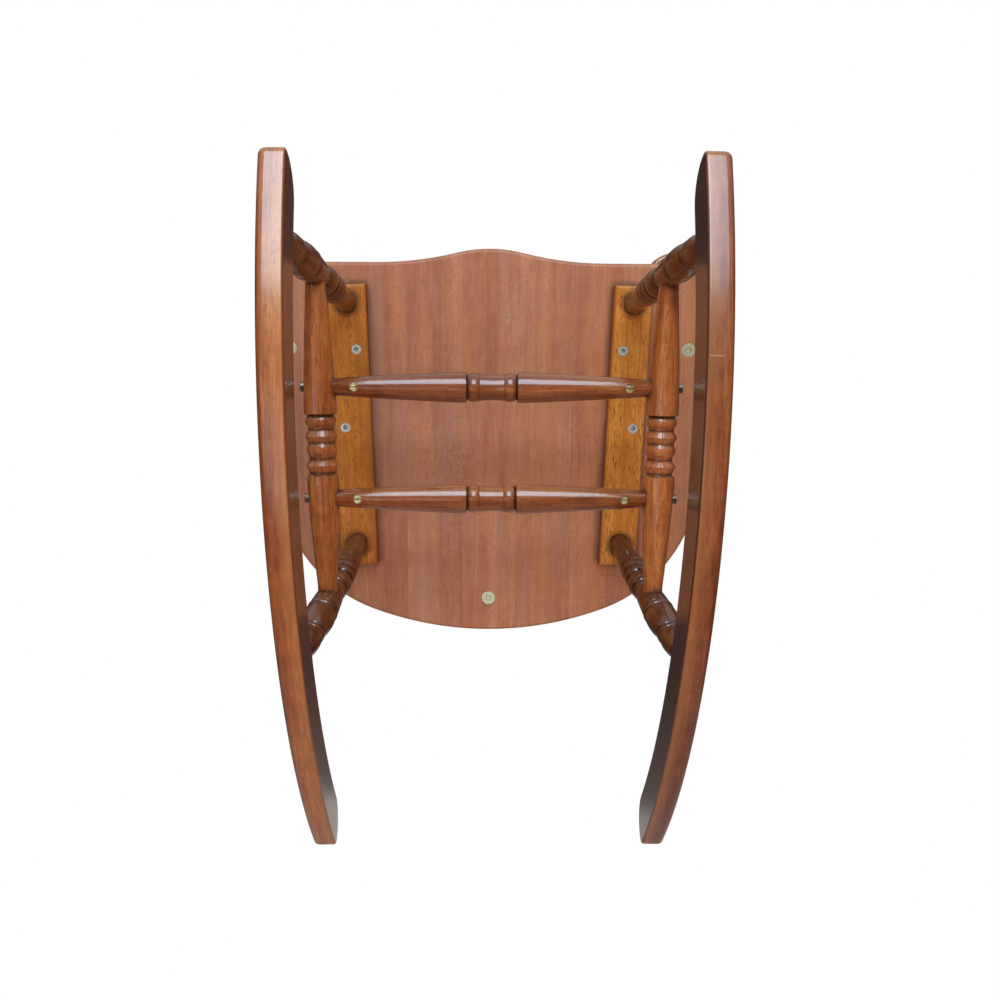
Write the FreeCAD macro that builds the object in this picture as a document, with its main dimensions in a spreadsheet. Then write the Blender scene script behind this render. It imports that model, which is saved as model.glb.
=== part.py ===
import FreeCAD, Part
import Sketcher
import math
import os

# Hoop back rocking chair. The chair is drawn with its seat level, x to the right, y to the rear,
# z up, and its origin under the middle of the rockers' arc, where they touch the floor. At the end
# the whole chair is rolled on its rockers until it balances, and set down about the middle of its
# length.

V = FreeCAD.Vector
RIGHT = V(1, 0, 0)
REAR = V(0, 1, 0)
UP = V(0, 0, 1)
CENTRE = V(0, 0, 0)

doc = FreeCAD.newDocument("HoopBackRockingChair")
sheet = doc.addObject("Spreadsheet::Sheet", "Sizes")

# Driving sizes in millimetres
SIZES = {
    # Rockers: arc, section, reach of the tips from the arc's lowest point, distance in from the
    # seat's sides
    "rocker_radius": 800,
    "rocker_height": 50,
    "rocker_thickness": 28,
    "rocker_front_reach": 289,
    "rocker_rear_reach": 520,
    "rocker_inset_front": 69.5,
    "rocker_inset_rear": 82.5,
    "rocker_tip_radius": 40,
    "rocker_toe_radius": 9,
    "rocker_outer_edge_radius": 8,
    "rocker_inner_edge_radius": 3,
    # Seat: outline, thickness, swelling at the front, dish on top
    "seat_underside": 342,
    "seat_thickness": 25,
    "seat_width": 576,
    "seat_front": 214.5,
    "seat_rear": 283,
    "seat_swell_height": 18,
    "seat_swell_radius": 184,
    "seat_flare_radius": 450,
    "seat_corner_radius": 40,
    "seat_side_radius": 200,
    "seat_rear_radius": 446,
    "seat_edge_radius": 5,
    "dish_radius": 190,
    "dish_depth": 6,
    "dish_middle": 10,
    # Cleats under the seat, with their distance in from its sides
    "cleat_length": 371,
    "cleat_width": 49,
    "cleat_thickness": 20,
    "cleat_inset_front": 101,
    "cleat_inset_rear": 113,
    "cleat_middle": 1.5,
    "cleat_edge_radius": 4,
    "cleat_bolt_pitch": 102,
    "cleat_bolt_stagger": 9.5,
    # Legs: places along the cleats and along the rockers, thickness, tenons
    "leg_top_front": 159.5,
    "leg_top_rear": 156,
    "leg_foot_front": 203.5,
    "leg_foot_rear": 236,
    "leg_diameter": 38,
    "leg_seat_depth": 34,
    "leg_foot_depth": 24,
    # Stretchers
    "stretcher_height": 190,
    "side_diameter": 38.5,
    "side_tenon_diameter": 15,
    "side_tenon_length": 11,
    "cross_diameter": 36,
    "cross_front": 53.5,
    "cross_rear": 77,
    "cross_end_setback": 13,
    # Bow
    "bow_width": 26,
    "bow_depth": 22,
    "bow_corner_radius": 8,
    "bow_height": 685,
    "bow_setback": 205,
    "bow_foot_inset": 88,
    "bow_spread": 22,
    "bow_widest_height": 350,
    "bow_side_radius": 1400,
    "bow_shoulder_radius": 110,
    "bow_top_radius": 300,
    "bow_tenon_diameter": 18,
    "bow_tenon_length": 16,
    "back_inset": 40.5,
    # Back spindles
    "spindle_diameter": 19,
    "spindle_seat_depth": 14,
    # Arms, their posts and their spindles
    "arm_height": 205,
    "arm_thickness": 22,
    "arm_front_reach": 225.5,
    "arm_front_overhang": 2,
    "arm_front_width": 76,
    "arm_rear_width": 40,
    "arm_outer_bend": 24,
    "arm_inner_bend": 14,
    "arm_edge_radius": 6,
    "post_bolt_inset": 23,
    "post_bolt_ahead": 102.5,
    "post_lean": 38,
    "post_diameter": 31,
    "post_seat_depth": 12,
    "post_arm_depth": 13,
    "arm_spindle_ahead": 8,
    "arm_spindle_pitch": 92,
    "arm_spindle_lean": 15,
    "arm_spindle_inset": 26,
    "arm_spindle_diameter": 18,
    "arm_spindle_depth": 12,
    # Bolts through the side stretchers and their barrel nuts
    "stretcher_bolt_diameter": 6,
    "stretcher_bolt_head_diameter": 12,
    "stretcher_bolt_head_height": 4.5,
    "stretcher_bolt_seat": 17.3,
    "stretcher_bolt_beyond_nut": 8,
    "stretcher_bolt_key": 4,
    "barrel_nut_diameter": 10,
    "barrel_nut_length": 20,
    "barrel_nut_distance": 41,
    "barrel_nut_slot": 1.6,
    # Socket head bolts in the cleats
    "cleat_bolt_diameter": 8,
    "cleat_bolt_head_diameter": 13,
    "cleat_bolt_head_height": 8,
    "cleat_bolt_recess": 9,
    "cleat_bolt_seat_depth": 15,
    "cleat_bolt_key": 6,
    # Flanged bolts in the seat
    "seat_bolt_diameter": 8,
    "seat_bolt_head_diameter": 18,
    "seat_bolt_head_height": 2.2,
    "seat_bolt_recess": 1.5,
    "seat_bolt_reach": 50,
    "seat_bolt_key": 8,
    "back_bolt_diameter": 6,
    "back_bolt_reach": 44,
    # Screws from the bow into the arms
    "arm_screw_diameter": 5,
    "arm_screw_head_diameter": 9,
    "arm_screw_head_height": 3,
    "arm_screw_reach": 40,
    # Clearance round what sits in a hole, gap at a blind hole's end, overrun of a cut
    "hole_clearance": 0.15,
    "end_gap": 0.8,
    "overrun": 5,
}

# Counts, and how far apart the back spindles stand, as shares of the bow's half width
BACK_SPINDLES = 7
SPINDLE_SEAT_SHARE = 0.24
SPINDLE_BOW_SHARE = 0.257
ARM_SPINDLES = 2
CLEAT_BOLTS = 3

# Densities in kilograms per cubic metre, to find where the chair balances
WOOD = 600
STEEL = 7850
BRASS = 8500


class Span:
    """A length with its value and the expression of sheet cells that it comes from."""

    def __init__(self, value, text):
        self.value = float(value)
        self.text = text

    def __add__(self, other):
        return Span(self.value + other.value, "(%s + %s)" % (self.text, other.text))

    def __sub__(self, other):
        return Span(self.value - other.value, "(%s - %s)" % (self.text, other.text))

    def __mul__(self, factor):
        return Span(self.value * factor, "(%s * %s)" % (self.text, factor))

    def __truediv__(self, factor):
        return Span(self.value / factor, "(%s / %s)" % (self.text, factor))

    def __neg__(self):
        return self * -1


NOTHING = Span(0, "0")


def write_cell(alias, value):
    """Put one named number in the sheet's next row."""
    write_cell.row += 1
    row = write_cell.row
    sheet.set("A%d" % row, alias)
    sheet.set("B%d" % row, repr(value))
    sheet.setAlias("B%d" % row, alias)


write_cell.row = 0
for size_name, size_value in SIZES.items():
    write_cell(size_name, size_value)
doc.recompute()


def cell(alias):
    return Span(sheet.get(alias), "Sizes." + alias)


def mm(alias):
    return float(sheet.get(alias))


def derived(alias, value):
    """Keep a length that is worked out from the driving sizes, and give it as a span."""
    write_cell(alias, value)
    sheet.recompute()
    return cell(alias)


def bind(item, prop, span):
    setattr(item, prop, span.value)
    item.setExpression(prop, span.text)


# Sketching


def plane_of(body, role):
    return [item for item in body.Origin.OriginFeatures if item.Role == role][0]


def new_sketch(body, name, role, offset=None):
    sketch = body.newObject("Sketcher::SketchObject", name)
    sketch.AttachmentSupport = [(plane_of(body, role), "")]
    sketch.MapMode = "FlatFace"
    if offset is not None:
        sketch.AttachmentOffset = offset
    return sketch


def size_constraint(sketch, kind, span, *where):
    number = sketch.addConstraint(Sketcher.Constraint(kind, *where, span.value))
    sketch.setExpression("Constraints[%d]" % number, span.text)


def place_corner(sketch, piece, end, across, along):
    """Tie one end of a piece of outline to its place."""
    for kind, span, axis in (("DistanceX", across, -2), ("DistanceY", along, -1)):
        if span is NOTHING:
            sketch.addConstraint(Sketcher.Constraint("PointOnObject", piece, end, axis))
        else:
            size_constraint(sketch, kind, span, -1, 1, piece, end)


def arc_piece(middle, radius, start, end):
    """Arc about its middle, anticlockwise from start to end."""
    first = math.atan2(start.y - middle.y, start.x - middle.x)
    last = math.atan2(end.y - middle.y, end.x - middle.x)
    return Part.ArcOfCircle(Part.Circle(middle, UP, radius), first, last)


def closed_outline(sketch, corners):
    """Closed outline. Each corner is (across, along, swell): the side that leaves it is straight
    where swell is None, and else an arc that stands out by swell to the right of its run."""
    count = len(corners)
    for index in range(count):
        across, along, swell = corners[index]
        next_across, next_along, _ = corners[(index + 1) % count]
        start = V(across.value, along.value, 0)
        end = V(next_across.value, next_along.value, 0)
        if swell is None:
            sketch.addGeometry(Part.LineSegment(start, end), False)
            continue
        bulging = swell.value > 0
        first, last = (start, end) if bulging else (end, start)
        rise = abs(swell.value)
        chord = last - first
        radius = chord.Length ** 2 / (8 * rise) + rise / 2
        inward = V(-chord.y, chord.x, 0).normalize()
        middle = (first + last) / 2 + inward * (radius - rise)
        sketch.addGeometry(arc_piece(middle, radius, first, last), False)
    ends = []
    for index, piece in enumerate(sketch.Geometry):
        start = V(corners[index][0].value, corners[index][1].value, 0)
        first_is_start = (piece.StartPoint - start).Length < (piece.EndPoint - start).Length
        ends.append((1, 2) if first_is_start else (2, 1))
    for index in range(count):
        following = (index + 1) % count
        sketch.addConstraint(
            Sketcher.Constraint("Coincident", index, ends[index][1], following, ends[following][0])
        )
        across, along, swell = corners[index]
        place_corner(sketch, index, ends[index][0], across, along)
        if swell is not None:
            next_across, next_along, _ = corners[following]
            span_x = next_across - across
            span_y = next_along - along
            square = "((%s)^2 + (%s)^2)" % (span_x.text, span_y.text)
            rise = "abs(%s)" % swell.text
            chord = math.hypot(span_x.value, span_y.value)
            value = chord ** 2 / (8 * abs(swell.value)) + abs(swell.value) / 2
            radius = Span(value, "(%s / (8 * %s) + %s / 2)" % (square, rise, rise))
            size_constraint(sketch, "Radius", radius, index)


def join(sketch, first, first_end, second, second_end, kind="Coincident"):
    sketch.addConstraint(Sketcher.Constraint(kind, first, first_end, second, second_end))


def edges_where(shape, test):
    return ["Edge%d" % (n + 1) for n, edge in enumerate(shape.Edges) if test(edge)]


def level_at(edge, height):
    box = edge.BoundBox
    near = mm("hole_clearance")
    return abs(box.ZMin - height) < near and abs(box.ZMax - height) < near


def pad(body, name, sketch, thickness, both_ways=False):
    feature = body.newObject("PartDesign::Pad", name)
    feature.Profile = sketch
    bind(feature, "Length", thickness)
    if both_ways:
        feature.Midplane = True
    sketch.Visibility = False
    return feature


def round_edges(body, name, base, edge_names, radius):
    feature = body.newObject("PartDesign::Fillet", name)
    feature.Base = (base, edge_names)
    bind(feature, "Radius", radius)
    return feature


# Placing


def along(start, end):
    """Placement with its origin at start and its z axis towards end."""
    return FreeCAD.Placement(start, FreeCAD.Rotation(UP, end - start))


def cylinder(name, start, end, radius):
    """Round bar or drill from start to end."""
    bar = doc.addObject("Part::Cylinder", name)
    bind(bar, "Radius", radius)
    bar.Height = (end - start).Length
    bar.Placement = along(start, end)
    return bar


def drilled(label, blank, drills):
    """The finished sub-part: the blank less its drills."""
    tools = drills[0]
    if len(drills) > 1:
        tools = doc.addObject("Part::MultiFuse", label + "_drills")
        tools.Shapes = drills
    cut = doc.addObject("Part::Cut", label + "_cut")
    cut.Base = blank
    cut.Tool = tools
    cut.Label = label
    return cut


def mirrored(label, source):
    twin = doc.addObject("Part::Mirroring", label + "_mirror")
    twin.Source = source
    twin.Base = CENTRE
    twin.Normal = RIGHT
    twin.Label = label
    return twin


def turned(name, length, radius, shares, first_tenon, last_tenon, place):
    """Turned stick: a half profile spun about its z axis. The shares run over the length that
    shows, and a tenon (radius, length) goes on past each end of it."""
    body = doc.addObject("PartDesign::Body", name + "_turning")
    sketch = new_sketch(body, name + "_profile", "XZ_Plane")
    first_radius, first_length = first_tenon
    last_radius, last_length = last_tenon
    corners = [(NOTHING, -first_length, None), (first_radius, -first_length, None)]
    if abs(first_radius.value - radius.value * shares[0][1]) > mm("hole_clearance"):
        corners.append((first_radius, length * shares[0][0], None))
    for along_share, radius_share, swell_share in shares:
        swell = radius * swell_share if swell_share else None
        corners.append((radius * radius_share, length * along_share, swell))
    if abs(last_radius.value - radius.value * shares[-1][1]) > mm("hole_clearance"):
        corners.append((last_radius, length * shares[-1][0], None))
    corners.append((last_radius, length + last_length, None))
    corners.append((NOTHING, length + last_length, None))
    closed_outline(sketch, corners)
    spin = body.newObject("PartDesign::Revolution", name + "_spin")
    spin.Profile = sketch
    spin.ReferenceAxis = (sketch, ["V_Axis"])
    spin.Angle = 360
    sketch.Visibility = False
    body.Placement = place
    return body


def both_halves(half_shares):
    """Turning that is alike both ways from its middle, given from one end to the middle."""
    swells = [0] + [swell for _, _, swell in half_shares[:-1]]
    back = [(1 - along_share, radius_share, swell)
            for (along_share, radius_share, _), swell in zip(half_shares, swells)]
    return half_shares + back[::-1]


# Turned profiles: place along the stick, radius, and how far an arc swells to the next point

LEG_SHARES = [
    (0.000, 0.66, 0), (0.100, 0.69, 0.02), (0.252, 0.86, 0),
    (0.262, 0.80, 0), (0.268, 0.84, 0.08), (0.316, 0.84, 0),
    (0.322, 0.80, 0), (0.328, 0.87, 0.05), (0.364, 0.87, 0),
    (0.370, 0.80, 0), (0.378, 0.85, 0.10), (0.450, 0.85, 0),
    (0.458, 0.78, 0), (0.464, 0.82, 0.03), (0.480, 0.82, 0),
    (0.486, 0.78, 0.01), (0.645, 0.94, 0),
    (0.651, 0.90, 0), (0.655, 0.95, 0.03), (0.672, 0.95, 0),
    (0.678, 0.90, 0), (0.682, 0.95, 0.09), (0.818, 0.79, 0),
    (0.825, 0.74, 0), (0.831, 0.79, 0.05), (0.852, 0.79, 0),
    (0.857, 0.78, 0.04), (0.925, 0.77, 0.06), (0.978, 0.53, 0),
    (0.986, 0.45, 0), (1.000, 0.45, 0),
]

SIDE_SHARES = [
    (0.000, 0.60, 0), (0.024, 0.60, 0.03), (0.390, 1.00, 0.005), (0.414, 0.985, 0),
    (0.420, 0.80, 0), (0.424, 0.84, 0.09), (0.451, 0.84, 0),
    (0.454, 0.79, -0.02), (0.468, 0.79, 0),
    (0.485, 0.975, 0), (0.508, 0.80, 0),
    (0.512, 0.83, 0.09), (0.544, 0.83, 0),
    (0.547, 0.79, -0.02), (0.565, 0.79, 0),
    (0.579, 0.975, 0), (0.603, 0.80, 0),
    (0.608, 0.80, 0), (0.613, 0.93, 0.005), (0.641, 0.98, 0.03), (0.976, 0.60, 0),
    (1.000, 0.60, 0),
]

CROSS_HALF_SHARES = [
    (0.0000, 0.57, 0), (0.0180, 0.57, 0.03), (0.4055, 1.00, 0.005), (0.4200, 0.97, 0),
    (0.4240, 0.80, 0), (0.4265, 0.84, 0.09), (0.4605, 0.84, 0),
    (0.4625, 0.87, -0.05),
]

SPINDLE_SHARES = [
    (0.000, 0.64, 0.02), (0.280, 0.93, 0),
    (0.284, 0.80, 0), (0.288, 0.87, 0.07), (0.305, 0.87, 0),
    (0.309, 0.80, 0), (0.313, 0.90, 0.10), (0.339, 0.90, 0),
    (0.343, 0.80, 0), (0.347, 0.87, 0.07), (0.364, 0.87, 0),
    (0.368, 0.80, 0), (0.372, 0.93, 0.03), (1.000, 0.53, 0),
]

ARM_SPINDLE_SHARES = [
    (0.000, 0.66, 0.03), (0.395, 0.94, 0),
    (0.404, 0.80, 0), (0.412, 0.87, 0.07), (0.452, 0.87, 0),
    (0.461, 0.80, 0), (0.470, 0.90, 0.10), (0.530, 0.90, 0),
    (0.539, 0.80, 0), (0.548, 0.87, 0.07), (0.588, 0.87, 0),
    (0.596, 0.80, 0), (0.605, 0.94, 0.03), (1.000, 0.60, 0),
]

POST_SHARES = [
    (0.000, 0.72, 0), (0.050, 0.72, 0),
    (0.062, 0.80, 0.10), (0.300, 0.96, 0),
    (0.312, 0.84, 0), (0.322, 0.88, 0.07), (0.366, 0.88, 0),
    (0.376, 0.82, 0), (0.386, 0.92, 0.08), (0.446, 0.92, 0),
    (0.456, 0.82, 0), (0.466, 0.88, 0.07), (0.510, 0.88, 0),
    (0.520, 0.80, 0), (0.530, 0.92, 0.04), (1.000, 0.60, 0),
]


# Lines of the chair that pieces share


def line_at(front_x, front_y, rear_x, rear_y, y):
    """Where a straight line in plan lies at y."""
    return front_x + (rear_x - front_x) * (y - front_y) / (rear_y - front_y)


SEAT_HALF = mm("seat_width") / 2
BOW_FOOT_HALF = SEAT_HALF - mm("bow_foot_inset")
BOW_WIDEST_HALF = BOW_FOOT_HALF + mm("bow_spread")


def rocker_x(y):
    front = SEAT_HALF - mm("rocker_inset_front")
    rear = SEAT_HALF - mm("rocker_inset_rear")
    return line_at(front, -mm("rocker_front_reach"), rear, mm("rocker_rear_reach"), y)


def rocker_top(y):
    inner = mm("rocker_radius") - mm("rocker_height")
    return mm("rocker_radius") - math.sqrt(inner ** 2 - y ** 2)


def cleat_x(y):
    half = mm("cleat_length") / 2
    front_y = mm("cleat_middle") - half
    rear_y = mm("cleat_middle") + half
    front_x = SEAT_HALF - mm("cleat_inset_front")
    rear_x = SEAT_HALF - mm("cleat_inset_rear")
    return line_at(front_x, front_y, rear_x, rear_y, y)


SEAT_LOW = mm("seat_underside")
SEAT_HIGH = SEAT_LOW + mm("seat_thickness")
CLEAT_LOW = SEAT_LOW - mm("cleat_thickness")
CLEARANCE = mm("hole_clearance")
GAP = mm("end_gap")
OVERRUN = mm("overrun")


def leg_line(top_y, foot_y):
    """Where a right leg leaves the cleat, and where it enters the rocker."""
    top = V(cleat_x(top_y), top_y, CLEAT_LOW)
    foot = V(rocker_x(foot_y), foot_y, rocker_top(foot_y))
    return top, foot


def at_height(start, end, z):
    return start + (end - start) * ((z - start.z) / (end.z - start.z))


LEG_LINES = {
    "front": leg_line(-mm("leg_top_front"), -mm("leg_foot_front")),
    "rear": leg_line(mm("leg_top_rear"), mm("leg_foot_rear")),
}
SIDE_FRONT = at_height(*LEG_LINES["front"], mm("stretcher_height"))
SIDE_REAR = at_height(*LEG_LINES["rear"], mm("stretcher_height"))
CROSS_Y = {"front": -mm("cross_front"), "rear": mm("cross_rear")}


def side_x(y):
    return line_at(SIDE_FRONT.x, SIDE_FRONT.y, SIDE_REAR.x, SIDE_REAR.y, y)


# The back stands on a curve that follows the seat's rear edge

REAR_ARC_MIDDLE = mm("seat_rear") - mm("seat_rear_radius")


def back_foot_y(x):
    radius = mm("seat_rear_radius") - mm("back_inset")
    return REAR_ARC_MIDDLE + math.sqrt(radius ** 2 - x ** 2)


BOW_FOOT_Y = back_foot_y(BOW_FOOT_HALF)
BOW_RAKE = math.atan2(mm("bow_setback"), mm("bow_height"))
BACK_PLACE = FreeCAD.Placement(
    V(0, BOW_FOOT_Y, SEAT_HIGH), FreeCAD.Rotation(RIGHT, 90 - math.degrees(BOW_RAKE))
)


def in_back(x, height, forward=0):
    """Point in the bow's plane: across, up along the plane, and forward of it."""
    return BACK_PLACE.multVec(V(x, height, forward))


def circles_meet(first, first_radius, second, second_radius):
    """The upper point where two circles meet."""
    gap = second - first
    reach = gap.Length
    share = (first_radius ** 2 - second_radius ** 2 + reach ** 2) / (2 * reach)
    rise = math.sqrt(first_radius ** 2 - share ** 2)
    ahead = gap.normalize()
    left = V(-ahead.y, ahead.x, 0)
    points = [first + ahead * share + left * rise, first + ahead * share - left * rise]
    return max(points, key=lambda point: point.y)


BOW_TOP_MIDDLE = V(0, mm("bow_height") - mm("bow_top_radius"), 0)
BOW_SIDE_MIDDLE = V(BOW_WIDEST_HALF - mm("bow_side_radius"), mm("bow_widest_height"), 0)
BOW_SHOULDER_MIDDLE = circles_meet(
    BOW_TOP_MIDDLE, mm("bow_top_radius") - mm("bow_shoulder_radius"),
    BOW_SIDE_MIDDLE, mm("bow_side_radius") - mm("bow_shoulder_radius"),
)
BOW_FOOT = V(BOW_FOOT_HALF, 0, 0)


def beyond(start, through, distance):
    return start + (through - start).normalize() * distance


BOW_TOP_END = beyond(BOW_TOP_MIDDLE, BOW_SHOULDER_MIDDLE, mm("bow_top_radius"))
BOW_SHOULDER_END = beyond(BOW_SIDE_MIDDLE, BOW_SHOULDER_MIDDLE, mm("bow_side_radius"))


def tangent_from(point, middle, radius):
    """Where the line from a point below touches the right side of a circle."""
    run = middle - point
    reach = math.sqrt(run.Length ** 2 - radius ** 2)
    turn = math.atan2(radius, reach)
    heading = math.atan2(run.y, run.x) - turn
    return point + V(math.cos(heading), math.sin(heading), 0) * reach


BOW_SIDE_START = tangent_from(BOW_FOOT, BOW_SIDE_MIDDLE, mm("bow_side_radius"))


def bow_height_at(x):
    """Height of the bow's middle line over a place across the back."""
    if abs(x) < BOW_TOP_END.x:
        return BOW_TOP_MIDDLE.y + math.sqrt(mm("bow_top_radius") ** 2 - x ** 2)
    across = abs(x) - BOW_SHOULDER_MIDDLE.x
    return BOW_SHOULDER_MIDDLE.y + math.sqrt(mm("bow_shoulder_radius") ** 2 - across ** 2)


def bow_x_at(height):
    """Half width of the bow's middle line at a height below its shoulders."""
    if height < BOW_SIDE_START.y:
        return line_at(BOW_FOOT.x, BOW_FOOT.y, BOW_SIDE_START.x, BOW_SIDE_START.y, height)
    rise = height - BOW_SIDE_MIDDLE.y
    return BOW_SIDE_MIDDLE.x + math.sqrt(mm("bow_side_radius") ** 2 - rise ** 2)


# The arms run from their rounded fronts to the bow

ARM_LOW = SEAT_HIGH + mm("arm_height")
ARM_MIDDLE = ARM_LOW + mm("arm_thickness") / 2
ARM_BOW_HEIGHT = (ARM_MIDDLE - SEAT_HIGH) / math.cos(BOW_RAKE)
ARM_REAR = in_back(bow_x_at(ARM_BOW_HEIGHT), ARM_BOW_HEIGHT)
ARM_FRONT_Y = -mm("arm_front_reach")


def arm_x(y):
    """Middle line of the right arm."""
    share = (y - ARM_FRONT_Y) / (ARM_REAR.y - ARM_FRONT_Y)
    front_x = SEAT_HALF + mm("arm_front_overhang")
    straight = line_at(front_x, ARM_FRONT_Y, ARM_REAR.x, ARM_REAR.y, y)
    bend = (mm("arm_outer_bend") + mm("arm_inner_bend")) / 2
    return straight + bend * 4 * share * (1 - share)


def seat_side_x(y):
    """Half width of the seat at y."""
    radius = mm("seat_side_radius")
    start = side_arc_y()
    if y < start:
        return SEAT_HALF
    return SEAT_HALF - radius + math.sqrt(radius ** 2 - (y - start) ** 2)


def side_arc_y():
    """Where the seat's straight side turns into its round back."""
    between = mm("seat_rear_radius") - mm("seat_side_radius")
    across = SEAT_HALF - mm("seat_side_radius")
    return REAR_ARC_MIDDLE + math.sqrt(between ** 2 - across ** 2)


# Lines of the sticks above the seat: start at the seat's top, end at the middle of what they enter

POST_BOLT = V(SEAT_HALF - mm("post_bolt_inset"), -mm("post_bolt_ahead"), SEAT_LOW)
POST_TOP_Y = POST_BOLT.y - mm("post_lean")
POST_TOP = V(arm_x(POST_TOP_Y), POST_TOP_Y, ARM_LOW)
POST_FOOT = at_height(POST_BOLT, POST_TOP, SEAT_HIGH)


def arm_spindle_line(number):
    foot_y = -mm("arm_spindle_ahead") + mm("arm_spindle_pitch") * number
    top_y = foot_y - mm("arm_spindle_lean")
    foot = V(seat_side_x(foot_y) - mm("arm_spindle_inset"), foot_y, SEAT_HIGH)
    return foot, V(arm_x(top_y), top_y, ARM_LOW)


def back_spindle_line(step):
    """Line of the back spindle that stands so many steps right of the middle."""
    foot_x = BOW_FOOT_HALF * SPINDLE_SEAT_SHARE * step
    top_x = BOW_WIDEST_HALF * SPINDLE_BOW_SHARE * step
    foot = V(foot_x, back_foot_y(foot_x), SEAT_HIGH)
    return foot, in_back(top_x, bow_height_at(top_x))


def radius_of(diameter, share=1):
    return cell(diameter) * (share / 2)


def loose(radius):
    return radius + cell("hole_clearance")


def hole(name, start, end, radius, past_start=0, past_end=0):
    """Drill from start to end, that runs on past either end."""
    run = (end - start).normalize()
    return cylinder(name, start - run * past_start, end + run * past_end, loose(radius))


# Seat


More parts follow.
